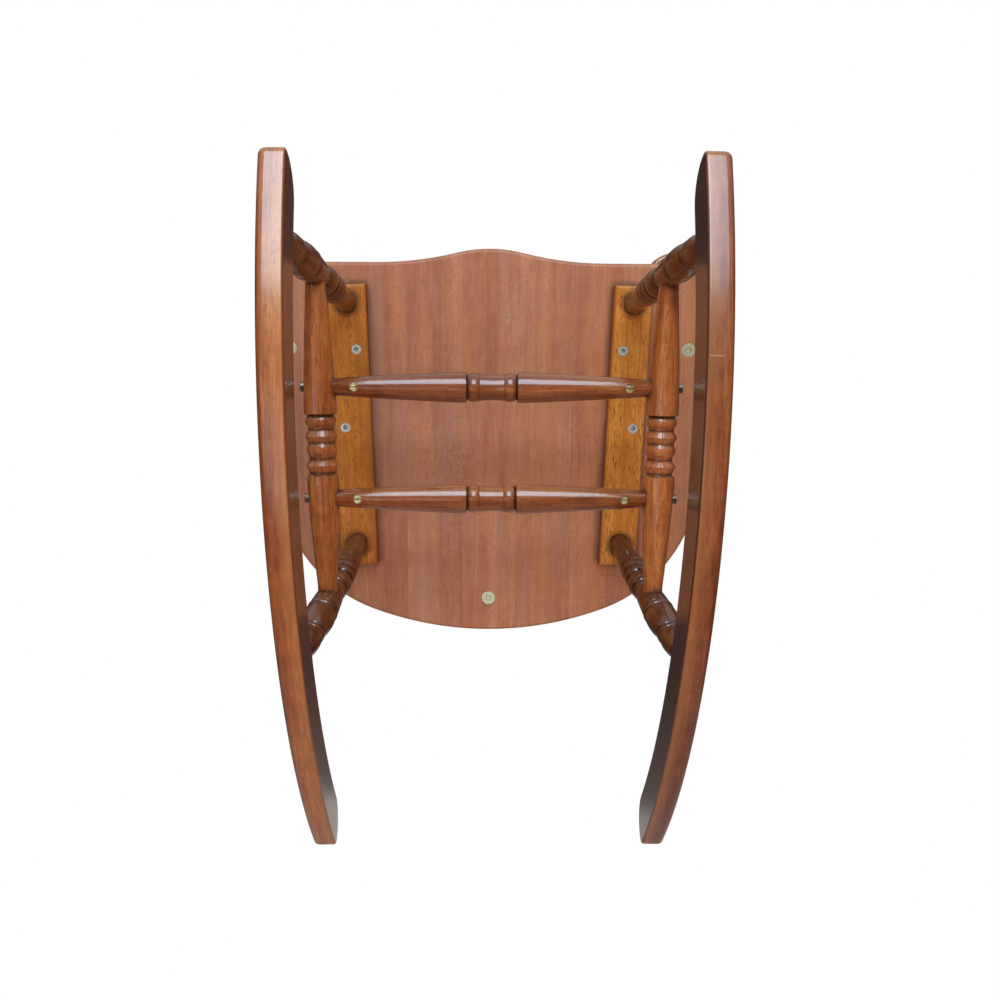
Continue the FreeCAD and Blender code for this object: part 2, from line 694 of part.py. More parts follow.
def seat_blank():
    body = doc.addObject("PartDesign::Body", "seat_board")
    sketch = new_sketch(body, "seat_half_outline", "XY_Plane")
    half = SEAT_HALF
    front = -mm("seat_front")
    peak = front - mm("seat_swell_height")
    swell, flare = mm("seat_swell_radius"), mm("seat_flare_radius")
    corner, side, rear = mm("seat_corner_radius"), mm("seat_side_radius"), mm("seat_rear_radius")
    swell_middle = V(0, peak + swell, 0)
    flare_x = math.sqrt((swell + flare) ** 2 - (swell + flare - mm("seat_swell_height")) ** 2)
    flare_middle = V(flare_x, front - flare, 0)
    meet = beyond(swell_middle, flare_middle, swell)
    corner_middle = V(half - corner, front + corner, 0)
    side_middle = V(half - side, side_arc_y(), 0)
    rear_middle = V(0, REAR_ARC_MIDDLE, 0)
    side_end = beyond(rear_middle, side_middle, rear)

    def arc(middle, radius, start, end):
        return sketch.addGeometry(arc_piece(middle, radius, start, end), False)

    swell_arc = arc(swell_middle, swell, V(0, peak, 0), meet)
    flare_arc = arc(flare_middle, flare, V(flare_x, front, 0), meet)
    front_end = V(half - corner, front, 0)
    front_line = sketch.addGeometry(Part.LineSegment(V(flare_x, front, 0), front_end), False)
    side_start = V(half, front + corner, 0)
    corner_arc = arc(corner_middle, corner, front_end, side_start)
    side_turn = V(half, side_arc_y(), 0)
    side_line = sketch.addGeometry(Part.LineSegment(side_start, side_turn), False)
    side_arc = arc(side_middle, side, side_turn, side_end)
    rear_arc = arc(rear_middle, rear, side_end, V(0, mm("seat_rear"), 0))
    spine = sketch.addGeometry(Part.LineSegment(V(0, mm("seat_rear"), 0), V(0, peak, 0)), False)

    join(sketch, swell_arc, 2, flare_arc, 2, "Tangent")
    join(sketch, flare_arc, 1, front_line, 1, "Tangent")
    join(sketch, front_line, 2, corner_arc, 1, "Tangent")
    join(sketch, corner_arc, 2, side_line, 1, "Tangent")
    join(sketch, side_line, 2, side_arc, 1, "Tangent")
    join(sketch, side_arc, 2, rear_arc, 1, "Tangent")
    join(sketch, rear_arc, 2, spine, 1)
    join(sketch, spine, 2, swell_arc, 1)
    for piece, point in ((swell_arc, 3), (rear_arc, 3), (spine, 1), (spine, 2)):
        sketch.addConstraint(Sketcher.Constraint("PointOnObject", piece, point, -2))
    sketch.addConstraint(Sketcher.Constraint("Horizontal", front_line))
    sketch.addConstraint(Sketcher.Constraint("Vertical", side_line))
    for piece, alias in (
        (swell_arc, "seat_swell_radius"), (flare_arc, "seat_flare_radius"),
        (corner_arc, "seat_corner_radius"), (side_arc, "seat_side_radius"),
        (rear_arc, "seat_rear_radius"),
    ):
        size_constraint(sketch, "Radius", cell(alias), piece)
    size_constraint(sketch, "DistanceY", -cell("seat_front"), -1, 1, front_line, 1)
    peak_span = -(cell("seat_front") + cell("seat_swell_height"))
    size_constraint(sketch, "DistanceY", peak_span, -1, 1, spine, 2)
    size_constraint(sketch, "DistanceY", cell("seat_rear"), -1, 1, spine, 1)
    size_constraint(sketch, "DistanceX", cell("seat_width") / 2, -1, 1, side_line, 1)

    board = pad(body, "seat_half", sketch, cell("seat_thickness"))
    whole = body.newObject("PartDesign::Mirrored", "seat_both_halves")
    whole.Originals = [board]
    whole.MirrorPlane = (plane_of(body, "YZ_Plane"), [""])
    body.Tip = whole
    doc.recompute()
    thickness = mm("seat_thickness")
    rims = edges_where(
        whole.Shape, lambda edge: level_at(edge, 0) or level_at(edge, thickness)
    )
    eased = round_edges(body, "seat_eased_edge", whole, rims, cell("seat_edge_radius"))
    doc.recompute()

    # The dish is a shallow cap of a ball, spun about an upright line
    dish = new_sketch(body, "dish_profile", "XZ_Plane")
    dish_radius, depth = cell("dish_radius"), cell("dish_depth")
    high = cell("seat_thickness")
    reach = dish_radius.value
    across = V(reach, high.value, 0)
    low = V(0, high.value - depth.value, 0)
    ball = (reach ** 2 + depth.value ** 2) / (2 * depth.value)
    ball_middle = V(0, low.y + ball, 0)
    cap_arc = dish.addGeometry(arc_piece(ball_middle, ball, low, across), False)
    lid_y = high.value + OVERRUN
    rim = dish.addGeometry(Part.LineSegment(across, V(reach, lid_y, 0)), False)
    lid = dish.addGeometry(Part.LineSegment(V(reach, lid_y, 0), V(0, lid_y, 0)), False)
    core = dish.addGeometry(Part.LineSegment(V(0, lid_y, 0), low), False)
    join(dish, cap_arc, 2, rim, 1)
    join(dish, rim, 2, lid, 1)
    join(dish, lid, 2, core, 1)
    join(dish, core, 2, cap_arc, 1)
    dish.addConstraint(Sketcher.Constraint("Vertical", rim))
    dish.addConstraint(Sketcher.Constraint("Horizontal", lid))
    for piece, point in ((core, 1), (core, 2), (cap_arc, 3)):
        dish.addConstraint(Sketcher.Constraint("PointOnObject", piece, point, -2))
    size_constraint(dish, "DistanceX", dish_radius, -1, 1, rim, 1)
    size_constraint(dish, "DistanceY", high, -1, 1, rim, 1)
    size_constraint(dish, "DistanceY", high + cell("overrun"), -1, 1, rim, 2)
    size_constraint(dish, "DistanceY", high - depth, -1, 1, core, 2)
    dish.AttachmentOffset = FreeCAD.Placement(V(0, 0, -mm("dish_middle")), FreeCAD.Rotation())
    before = eased.Shape.Volume
    groove = body.newObject("PartDesign::Groove", "dish")
    groove.Profile = dish
    groove.ReferenceAxis = (dish, ["V_Axis"])
    groove.Angle = 360
    doc.recompute()
    if groove.Shape.Volume >= before:
        raise RuntimeError("the dish cuts nothing")
    body.Placement = FreeCAD.Placement(V(0, 0, SEAT_LOW), FreeCAD.Rotation())
    return body


def both_sides(point):
    return [point, V(-point.x, point.y, point.z)]


def seat_drills():
    drills = []
    for name, (top, foot) in LEG_LINES.items():
        for start, end in zip(both_sides(foot), both_sides(top)):
            tip = beyond(end, start, -mm("leg_seat_depth"))
            drill = hole("seat_leg_hole", end, tip, leg_neck_radius(), 0, GAP)
            drills.append(drill)
    for place in cleat_bolt_places():
        for point in both_sides(place):
            start = V(point.x, point.y, SEAT_LOW)
            end = start + UP * mm("cleat_bolt_seat_depth")
            drills.append(hole("seat_cleat_bolt_hole", start, end,
                               radius_of("cleat_bolt_diameter"), OVERRUN, GAP))
    for foot, top, bolt in zip(both_sides(POST_FOOT), both_sides(POST_TOP), both_sides(POST_BOLT)):
        drills.append(hole("seat_post_hole", beyond(foot, top, -mm("post_seat_depth")), foot,
                           post_foot_radius(), GAP, 2 * OVERRUN))
        drills += seat_bolt_drills(bolt, top, "seat_bolt_diameter")
    for number in range(ARM_SPINDLES):
        foot, top = arm_spindle_line(number)
        for start, end in zip(both_sides(foot), both_sides(top)):
            drills.append(hole("seat_arm_spindle_hole",
                               beyond(start, end, -mm("arm_spindle_depth")), start,
                               radius_of("arm_spindle_diameter", ARM_SPINDLE_SHARES[0][1]),
                               GAP, OVERRUN))
    for step in spindle_steps():
        foot, top = back_spindle_line(step)
        drills.append(hole("seat_back_spindle_hole",
                           beyond(foot, top, -mm("spindle_seat_depth")), foot,
                           radius_of("spindle_diameter", SPINDLE_SHARES[0][1]), GAP, OVERRUN))
    drills += seat_bolt_drills(BACK_BOLT, back_spindle_line(0)[1], "back_bolt_diameter")
    for foot in both_sides(BOW_FOOT):
        tip, start = bow_tenon_line(foot)
        drills.append(hole("seat_bow_hole", tip, start, radius_of("bow_tenon_diameter"),
                           GAP, OVERRUN))
    return drills


def seat_bolt_drills(head, towards, diameter):
    """Hole through the seat and the shallow seat of the flange, along the bolt's line."""
    run = (towards - head).normalize()
    recess = head + run * mm("seat_bolt_recess")
    through = hole("seat_bolt_hole", head, head + run * mm("seat_thickness"),
                   radius_of(diameter), OVERRUN, OVERRUN)
    flange = hole("seat_bolt_flange_seat", head, recess, radius_of("seat_bolt_head_diameter"),
                  OVERRUN, 0)
    return [through, flange]


# Rockers


def rocker_blank():
    body = doc.addObject("PartDesign::Body", "rocker_blank")
    sketch = new_sketch(body, "rocker_outline", "YZ_Plane")
    radius = mm("rocker_radius")
    inner = radius - mm("rocker_height")
    middle = V(0, radius, 0)
    front_turn = math.asin(mm("rocker_front_reach") / radius)
    rear_turn = math.asin(mm("rocker_rear_reach") / radius)
    down = -math.pi / 2

    def on_arc(reach, turn):
        angle = down + turn
        return middle + V(math.cos(angle), math.sin(angle), 0) * reach

    def arc(reach):
        circle = Part.Circle(middle, UP, reach)
        piece = Part.ArcOfCircle(circle, down - front_turn, down + rear_turn)
        return sketch.addGeometry(piece, False)

    bottom = arc(radius)
    top = arc(inner)
    rear_end = Part.LineSegment(on_arc(radius, rear_turn), on_arc(inner, rear_turn))
    front_end = Part.LineSegment(on_arc(radius, -front_turn), on_arc(inner, -front_turn))
    rear_line = sketch.addGeometry(rear_end, False)
    front_line = sketch.addGeometry(front_end, False)
    join(sketch, bottom, 2, rear_line, 1)
    join(sketch, top, 2, rear_line, 2)
    join(sketch, bottom, 1, front_line, 1)
    join(sketch, top, 1, front_line, 2)
    join(sketch, bottom, 3, top, 3)
    sketch.addConstraint(Sketcher.Constraint("PointOnObject", bottom, 3, -2))
    sketch.addConstraint(Sketcher.Constraint("PointOnObject", bottom, 3, rear_line))
    sketch.addConstraint(Sketcher.Constraint("PointOnObject", bottom, 3, front_line))
    size_constraint(sketch, "DistanceY", cell("rocker_radius"), -1, 1, bottom, 3)
    size_constraint(sketch, "Radius", cell("rocker_radius"), bottom)
    size_constraint(sketch, "Radius", cell("rocker_radius") - cell("rocker_height"), top)
    size_constraint(sketch, "DistanceX", -cell("rocker_front_reach"), -1, 1, bottom, 1)
    size_constraint(sketch, "DistanceX", cell("rocker_rear_reach"), -1, 1, bottom, 2)
    bar = pad(body, "rocker_bar", sketch, cell("rocker_thickness"), True)
    doc.recompute()

    def across(edge):
        return edge.BoundBox.XLength > mm("rocker_thickness") / 2

    def from_middle(edge):
        point = edge.Vertexes[0].Point
        return math.hypot(point.y, point.z - radius)

    half_way = radius - mm("rocker_height") / 2
    tops = edges_where(bar.Shape, lambda edge: across(edge) and from_middle(edge) < half_way)
    tips = round_edges(body, "rocker_tips", bar, tops, cell("rocker_tip_radius"))
    doc.recompute()
    toes = edges_where(
        tips.Shape,
        lambda edge: across(edge) and abs(from_middle(edge) - radius) < mm("hole_clearance"),
    )
    toe = round_edges(body, "rocker_toes", tips, toes, cell("rocker_toe_radius"))
    doc.recompute()
    shaped = toe
    for outward, side_name in ((1, "outer"), (-1, "inner")):
        rim = edges_where(
            shaped.Shape,
            lambda edge: not across(edge)
            and edge.CenterOfMass.x * outward > mm("rocker_thickness") / 2 - mm("hole_clearance"),
        )
        shaped = round_edges(body, "rocker_%s_rim" % side_name, shaped, rim,
                             cell("rocker_%s_edge_radius" % side_name))
        doc.recompute()
    front = V(rocker_x(-mm("rocker_front_reach")), -mm("rocker_front_reach"), 0)
    rear = V(rocker_x(mm("rocker_rear_reach")), mm("rocker_rear_reach"), 0)
    body.Placement = FreeCAD.Placement(
        V(rocker_x(0), 0, 0), FreeCAD.Rotation(REAR, rear - front)
    )
    return body


def leg_foot_tip(top, foot):
    return beyond(foot, top, -mm("leg_foot_depth"))


def rocker_drills():
    drills = []
    for top, foot in LEG_LINES.values():
        drills.append(hole("rocker_leg_hole", foot, leg_foot_tip(top, foot),
                           leg_foot_radius(), 2 * OVERRUN, GAP))
    return drills


# Cleats


def cleat_blank():
    half_width = cell("cleat_width") / 2
    half_length = cell("cleat_length") / 2
    body = doc.addObject("PartDesign::Body", "cleat_board")
    sketch = new_sketch(body, "cleat_outline", "XY_Plane")
    closed_outline(sketch, [
        (-half_width, -half_length, None), (half_width, -half_length, None),
        (half_width, half_length, None), (-half_width, half_length, None),
    ])
    board = pad(body, "cleat_pad", sketch, cell("cleat_thickness"))
    doc.recompute()
    rims = edges_where(board.Shape, lambda edge: level_at(edge, 0))
    round_edges(body, "cleat_eased_edges", board, rims, cell("cleat_edge_radius"))
    front_y = mm("cleat_middle") - half_length.value
    rear_y = mm("cleat_middle") + half_length.value
    run = V(cleat_x(rear_y), rear_y, 0) - V(cleat_x(front_y), front_y, 0)
    middle = V(cleat_x(mm("cleat_middle")), mm("cleat_middle"), CLEAT_LOW)
    body.Placement = FreeCAD.Placement(middle, FreeCAD.Rotation(REAR, run))
    return body


def cleat_bolt_places():
    """Heads' places on the right cleat: they zigzag about its middle line."""
    places = []
    for number in range(CLEAT_BOLTS):
        step = number - (CLEAT_BOLTS - 1) / 2
        y = mm("cleat_middle") + mm("cleat_bolt_pitch") * step
        side = 1 if number % 2 else -1
        places.append(V(cleat_x(y) + mm("cleat_bolt_stagger") * side, y, CLEAT_LOW))
    return places


def cleat_drills():
    drills = []
    for top, foot in LEG_LINES.values():
        end = beyond(top, foot, -mm("leg_seat_depth"))
        drills.append(hole("cleat_leg_hole", top, end, leg_neck_radius(), 2 * OVERRUN, OVERRUN))
    for place in cleat_bolt_places():
        recess = place + UP * mm("cleat_bolt_recess")
        top = place + UP * mm("cleat_thickness")
        drills.append(hole("cleat_bolt_recess_hole", place, recess,
                           radius_of("cleat_bolt_head_diameter"), OVERRUN, 0))
        drills.append(hole("cleat_bolt_hole", place, top, radius_of("cleat_bolt_diameter"),
                           OVERRUN, OVERRUN))
    return drills


# Legs


def leg_neck_radius():
    return radius_of("leg_diameter", LEG_SHARES[0][1])


def leg_foot_radius():
    return radius_of("leg_diameter", LEG_SHARES[-1][1])


def leg_blank(which):
    top, foot = LEG_LINES[which]
    length = derived("leg_%s_length" % which, (foot - top).Length)
    return turned(
        "leg_" + which, length, cell("leg_diameter") / 2, LEG_SHARES,
        (leg_neck_radius(), cell("leg_seat_depth")),
        (leg_foot_radius(), cell("leg_foot_depth")),
        along(top, foot),
    )


def side_body_start():
    """How far the side stretcher's round end stands from the leg's middle line."""
    return mm("side_tenon_length")


def leg_drills(which):
    here, there = (SIDE_FRONT, SIDE_REAR) if which == "front" else (SIDE_REAR, SIDE_FRONT)
    seat_of_end = beyond(here, there, side_body_start())
    outside = beyond(here, there, mm("leg_diameter"))
    end_radius = radius_of("side_diameter", SIDE_SHARES[0 if which == "front" else -1][1])
    return [
        hole("leg_tenon_hole", here, outside, radius_of("side_tenon_diameter"), GAP, 0),
        hole("leg_stretcher_hole", seat_of_end, outside, end_radius, CLEARANCE, 0),
    ]


# Stretchers


def side_blank():
    start = beyond(SIDE_FRONT, SIDE_REAR, side_body_start())
    end = beyond(SIDE_REAR, SIDE_FRONT, side_body_start())
    length = derived("side_length", (end - start).Length)
    tenon = (radius_of("side_tenon_diameter"), cell("side_tenon_length"))
    return turned("side_stretcher", length, cell("side_diameter") / 2, SIDE_SHARES,
                  tenon, tenon, along(start, end))


def cross_axis(which):
    """Where the line of a cross stretcher crosses the right side stretcher's line."""
    y = CROSS_Y[which]
    return V(side_x(y), y, mm("stretcher_height"))


def side_drills():
    drills = []
    for which in CROSS_Y:
        point = cross_axis(which)
        inward = point - RIGHT * mm("cross_end_setback")
        drills.append(hole("side_cross_hole", point - RIGHT * mm("side_diameter"), inward,
                           cross_end_radius(), 0, CLEARANCE))
        drills.append(hole("side_bolt_hole", point - RIGHT * mm("side_diameter"),
                           point + RIGHT * mm("side_diameter"),
                           radius_of("stretcher_bolt_diameter"), 0, 0))
        drills.append(hole("side_bolt_seat", point + RIGHT * mm("stretcher_bolt_seat"),
                           point + RIGHT * mm("side_diameter"),
                           radius_of("stretcher_bolt_head_diameter"), 0, 0))
    return drills


def cross_end_radius():
    return radius_of("cross_diameter", CROSS_HALF_SHARES[0][1])


def cross_blank(which):
    point = cross_axis(which)
    start = V(-point.x + mm("cross_end_setback"), point.y, point.z)
    end = V(point.x - mm("cross_end_setback"), point.y, point.z)
    length = derived("cross_%s_length" % which, (end - start).Length)
    stub = (cross_end_radius(), cell("hole_clearance"))
    return turned("cross_stretcher_" + which, length, cell("cross_diameter") / 2,
                  both_halves(CROSS_HALF_SHARES), stub, stub, along(start, end))


def nut_place(which):
    return cross_axis(which) - RIGHT * mm("barrel_nut_distance")


def cross_drills(which):
    drills = []
    reach = mm("barrel_nut_distance") + mm("stretcher_bolt_beyond_nut")
    for sign in (1, -1):
        axis = cross_axis(which)
        end = V(sign * axis.x, axis.y, axis.z)
        inner = end - RIGHT * sign * reach
        drills.append(hole("cross_bolt_hole", end, inner,
                           radius_of("stretcher_bolt_diameter"), 0, GAP))
        nut = nut_place(which)
        middle = V(sign * nut.x, nut.y, nut.z)
        drills.append(hole("cross_nut_hole", middle - UP * mm("cross_diameter"),
                           middle + UP * mm("barrel_nut_length") / 2,
                           radius_of("barrel_nut_diameter"), 0, GAP))
    return drills


# Bow


def bow_blank():
    body = doc.addObject("PartDesign::Body", "bow_bar")
    path = new_sketch(body, "bow_path", "XY_Plane")
    foot_half = cell("seat_width") / 2 - cell("bow_foot_inset")
    foot_end = beyond(BOW_FOOT, BOW_SIDE_START, -mm("bow_width"))

    def arc(middle, radius, start, end):
        return path.addGeometry(arc_piece(middle, radius, start, end), False)

    foot_line = path.addGeometry(Part.LineSegment(foot_end, BOW_SIDE_START), False)
    side = arc(BOW_SIDE_MIDDLE, mm("bow_side_radius"), BOW_SIDE_START, BOW_SHOULDER_END)
    shoulder = arc(BOW_SHOULDER_MIDDLE, mm("bow_shoulder_radius"), BOW_SHOULDER_END, BOW_TOP_END)
    top = arc(BOW_TOP_MIDDLE, mm("bow_top_radius"), BOW_TOP_END, V(0, mm("bow_height"), 0))
    foot_point = path.addGeometry(Part.Point(BOW_FOOT), True)
    join(path, foot_line, 2, side, 1, "Tangent")
    join(path, side, 2, shoulder, 1, "Tangent")
    join(path, shoulder, 2, top, 1, "Tangent")
    for piece, point in ((top, 3), (top, 2)):
        path.addConstraint(Sketcher.Constraint("PointOnObject", piece, point, -2))
    path.addConstraint(Sketcher.Constraint("PointOnObject", foot_point, 1, foot_line))
    path.addConstraint(Sketcher.Constraint("PointOnObject", foot_point, 1, -1))
    size_constraint(path, "DistanceX", foot_half, -1, 1, foot_point, 1)
    size_constraint(path, "Distance", cell("bow_width"), foot_line, 1, foot_point, 1)
    size_constraint(path, "Radius", cell("bow_side_radius"), side)
    size_constraint(path, "Radius", cell("bow_shoulder_radius"), shoulder)
    size_constraint(path, "Radius", cell("bow_top_radius"), top)
    size_constraint(path, "DistanceY", cell("bow_height"), -1, 1, top, 2)
    side_middle = foot_half + cell("bow_spread") - cell("bow_side_radius")
    size_constraint(path, "DistanceX", side_middle, -1, 1, side, 3)
    size_constraint(path, "DistanceY", cell("bow_widest_height"), -1, 1, side, 3)

    section = new_sketch(body, "bow_section", "YZ_Plane")
    low, high = cell("bow_height") - cell("bow_width") / 2, cell("bow_height") + cell("bow_width") / 2
    half_depth = cell("bow_depth") / 2
    corner = cell("bow_corner_radius")
    swell = corner * (1 - math.sqrt(0.5))
    closed_outline(section, [
        (low + corner, -half_depth, None), (high - corner, -half_depth, swell),
        (high, -half_depth + corner, None), (high, half_depth - corner, swell),
        (high - corner, half_depth, None), (low + corner, half_depth, swell),
        (low, half_depth - corner, None), (low, -half_depth + corner, swell),
    ])
    bar = body.newObject("PartDesign::AdditivePipe", "bow_half")
    bar.Profile = section
    bar.Spine = (path, ["Edge%d" % (n + 1) for n in range(4)])
    path.Visibility = False
    section.Visibility = False
    doc.recompute()
    whole = body.newObject("PartDesign::Mirrored", "bow_both_halves")
    whole.Originals = [bar]
    whole.MirrorPlane = (plane_of(body, "YZ_Plane"), [""])
    body.Tip = whole
    body.Placement = BACK_PLACE

    # The feet end flush on the seat and go on as round tenons
    under = doc.addObject("Part::Box", "under_bow")
    bind(under, "Length", cell("seat_width"))
    bind(under, "Width", cell("seat_width"))
    bind(under, "Height", cell("seat_width"))
    under.Placement = FreeCAD.Placement(
        V(-SEAT_HALF, BOW_FOOT_Y - SEAT_HALF, SEAT_HIGH - mm("seat_width")), FreeCAD.Rotation()
    )
    standing = doc.addObject("Part::Cut", "bow_on_seat")
    standing.Base = body
    standing.Tool = under
    tenons = []
    for foot in both_sides(BOW_FOOT):
        tip, start = bow_tenon_line(foot)
        inside = beyond(start, tip, -mm("bow_width"))
        tenons.append(cylinder("bow_tenon", tip, inside, radius_of("bow_tenon_diameter")))
    fused = doc.addObject("Part::MultiFuse", "bow_with_tenons")
    fused.Shapes = [standing] + tenons
    return fused


def bow_tenon_line(foot):
    """Tip of a foot's tenon in the seat, and where the foot meets the seat's top."""
    sign = 1 if foot.x > 0 else -1
    up_the_foot = V(sign * BOW_SIDE_START.x, BOW_SIDE_START.y, 0)
    start = BACK_PLACE.multVec(foot)
    towards = BACK_PLACE.multVec(up_the_foot)
    return beyond(start, towards, -mm("bow_tenon_length")), start


def bow_drills():
    drills = []
    for step in spindle_steps():
        foot, top = back_spindle_line(step)
        start = beyond(top, foot, mm("bow_width"))
        drills.append(hole("bow_spindle_hole", start, top,
                           radius_of("spindle_diameter", SPINDLE_SHARES[-1][1]), OVERRUN, GAP))
    for point in both_sides(V(bow_x_at(ARM_BOW_HEIGHT), ARM_BOW_HEIGHT, 0)):
        back, front, shoulder = arm_screw_line(point)
        drills.append(hole("bow_screw_hole", back, front, radius_of("arm_screw_diameter"),
                           OVERRUN, OVERRUN))
        drills.append(hole("bow_screw_head_hole", back, shoulder,
                           radius_of("arm_screw_head_diameter"), OVERRUN, 0))
    return drills


def arm_screw_line(point):
    """Back face, front face and head's seat of the screw that holds an arm to the bow."""
    half = mm("bow_depth") / 2
    back = BACK_PLACE.multVec(V(point.x, point.y, -half))
    front = BACK_PLACE.multVec(V(point.x, point.y, half))
    return back, front, beyond(back, front, mm("arm_screw_head_height") + GAP)


# Spindles


def spindle_steps():
    middle = (BACK_SPINDLES - 1) / 2
    return [number - middle for number in range(BACK_SPINDLES)]


BACK_BOLT = at_height(*back_spindle_line(0), SEAT_LOW)


def back_spindle(number, step):
    label = "back_spindle_%d" % (number + 1)
    foot, top = back_spindle_line(step)
    shown_end = beyond(top, foot, mm("bow_width") / 2)
    length = derived("back_spindle_%d_length" % (number + 1), (shown_end - foot).Length)
    stick = turned(
        label, length, cell("spindle_diameter") / 2, SPINDLE_SHARES,
        (radius_of("spindle_diameter", SPINDLE_SHARES[0][1]), cell("spindle_seat_depth")),
        (radius_of("spindle_diameter", SPINDLE_SHARES[-1][1]), cell("bow_width") / 2),
        along(foot, top),
    )
    if step:
        stick.Label = label
        return stick
    bolt_end = beyond(BACK_BOLT, top, mm("back_bolt_reach"))
    return drilled(label, stick, [
        hole("spindle_bolt_hole", BACK_BOLT, bolt_end, radius_of("back_bolt_diameter"), 0, GAP)
    ])


def arm_spindle(number):
    label = "arm_spindle_right_%d" % (number + 1)
    foot, top = arm_spindle_line(number)
    length = derived("arm_spindle_%d_length" % (number + 1), (top - foot).Length)
    stick = turned(
        label, length, cell("arm_spindle_diameter") / 2, ARM_SPINDLE_SHARES,
        (radius_of("arm_spindle_diameter", ARM_SPINDLE_SHARES[0][1]), cell("arm_spindle_depth")),
        (radius_of("arm_spindle_diameter", ARM_SPINDLE_SHARES[-1][1]), cell("arm_spindle_depth")),
        along(foot, top),
    )
    stick.Label = label
    return stick


def post_foot_radius():
    return radius_of("post_diameter", POST_SHARES[0][1])


def arm_post():
    length = derived("post_length", (POST_TOP - POST_FOOT).Length)
    stick = turned(
        "arm_post_right", length, cell("post_diameter") / 2, POST_SHARES,
        (post_foot_radius(), cell("post_seat_depth")),
        (radius_of("post_diameter", POST_SHARES[-1][1]), cell("post_arm_depth")),
        along(POST_FOOT, POST_TOP),
    )
    bolt_end = beyond(POST_BOLT, POST_TOP, mm("seat_bolt_reach"))
    return drilled("arm_post_right", stick, [
        hole("post_bolt_hole", POST_BOLT, bolt_end, radius_of("seat_bolt_diameter"), 0, GAP)
    ])


# Arms


def arm_blank():
    front_x = cell("seat_width") / 2 + cell("arm_front_overhang")
    rear_x = derived("arm_rear_spread", ARM_REAR.x)
    front_y = -cell("arm_front_reach")
    rear_y = derived("arm_rear_end", ARM_REAR.y + mm("bow_depth"))
    front_half, rear_half = cell("arm_front_width") / 2, cell("arm_rear_width") / 2
    corners = [
        (front_x - front_half, front_y, front_half * 0.9),
        (front_x + front_half, front_y, cell("arm_outer_bend")),
        (rear_x + rear_half, rear_y, None),
        (rear_x - rear_half, rear_y, -cell("arm_inner_bend")),
    ]
    body = doc.addObject("PartDesign::Body", "arm_board")
    sketch = new_sketch(body, "arm_outline", "XY_Plane")
    closed_outline(sketch, corners)
    board = pad(body, "arm_pad", sketch, cell("arm_thickness"))
    doc.recompute()

    def in_front(edge):
        return edge.BoundBox.YMax < rear_y.value - mm("bow_depth") / 2

    upright = edges_where(
        board.Shape, lambda edge: in_front(edge) and edge.BoundBox.ZLength > edge.BoundBox.XLength
    )
    rounded = round_edges(body, "arm_round_end", board, upright, front_half / 2)
    doc.recompute()
    thickness = mm("arm_thickness")
    rims = edges_where(
        rounded.Shape,
        lambda edge: edge.BoundBox.YLength > mm("arm_edge_radius")
        and (level_at(edge, 0) or level_at(edge, thickness)),
    )
    round_edges(body, "arm_eased_edges", rounded, rims, cell("arm_edge_radius"))
    body.Placement = FreeCAD.Placement(V(0, 0, ARM_LOW), FreeCAD.Rotation())
    return body


def arm_drills():
    behind = doc.addObject("Part::Box", "behind_arm")
    bind(behind, "Length", cell("seat_width"))
    bind(behind, "Width", cell("seat_width"))
    bind(behind, "Height", cell("seat_width"))
    front_of_bow = mm("bow_depth") / 2 + CLEARANCE
    behind.Placement = BACK_PLACE.multiply(
        FreeCAD.Placement(V(0, 0, front_of_bow - mm("seat_width")), FreeCAD.Rotation())
    )
    drills = [behind]
    drills.append(hole("arm_post_hole", POST_TOP, beyond(POST_TOP, POST_FOOT, -mm("post_arm_depth")),
                       radius_of("post_diameter", POST_SHARES[-1][1]), OVERRUN, GAP))
    for number in range(ARM_SPINDLES):
        foot, top = arm_spindle_line(number)
        drills.append(hole("arm_spindle_hole", top, beyond(top, foot, -mm("arm_spindle_depth")),
                           radius_of("arm_spindle_diameter", ARM_SPINDLE_SHARES[-1][1]),
                           OVERRUN, GAP))
    point = V(bow_x_at(ARM_BOW_HEIGHT), ARM_BOW_HEIGHT, 0)
    _, front, shoulder = arm_screw_line(point)
    tip = beyond(shoulder, front, mm("arm_screw_reach"))
    drills.append(hole("arm_screw_hole", shoulder, tip, radius_of("arm_screw_diameter"), 0, GAP))
    return drills


# Fasteners


def socket_bolt(name, head, tip, sizes, head_height, key):
    """Bolt from the outer face of its head to its tip, with a six-sided socket."""
    shank_radius, head_radius = sizes
    neck = beyond(head, tip, head_height.value)
    cap = cylinder(name + "_head", head, neck, head_radius)
    shank = cylinder(name + "_shank", beyond(head, tip, head_height.value / 2), tip, shank_radius)
    solid = doc.addObject("Part::Fuse", name + "_solid")
    solid.Base = cap
    solid.Tool = shank
    socket = doc.addObject("Part::Prism", name + "_socket")
    socket.Polygon = 6
    bind(socket, "Circumradius", key / math.sqrt(3))
    bind(socket, "Height", head_height * 0.7)
    socket.Placement = along(head, tip)
    bolt = doc.addObject("Part::Cut", name)
    bolt.Base = solid
    bolt.Tool = socket
    return bolt


def group(label, solids):
    together = doc.addObject("Part::Compound", label + "_group")
    together.Links = solids
    together.Label = label
    return together


def stretcher_bolts():
    bolts = []
    sizes = (radius_of("stretcher_bolt_diameter"), radius_of("stretcher_bolt_head_diameter"))
    for which in CROSS_Y:
        axis = cross_axis(which)
        head_x = axis.x + mm("stretcher_bolt_seat") + mm("stretcher_bolt_head_height")
        tip_x = axis.x - mm("barrel_nut_distance") - mm("stretcher_bolt_beyond_nut")
        for sign in (1, -1):
            head = V(sign * head_x, axis.y, axis.z)
            tip = V(sign * tip_x, axis.y, axis.z)
            bolts.append(socket_bolt("stretcher_bolt", head, tip, sizes,
                                     cell("stretcher_bolt_head_height"),
                                     cell("stretcher_bolt_key")))
    return group("stretcher_bolts", bolts)


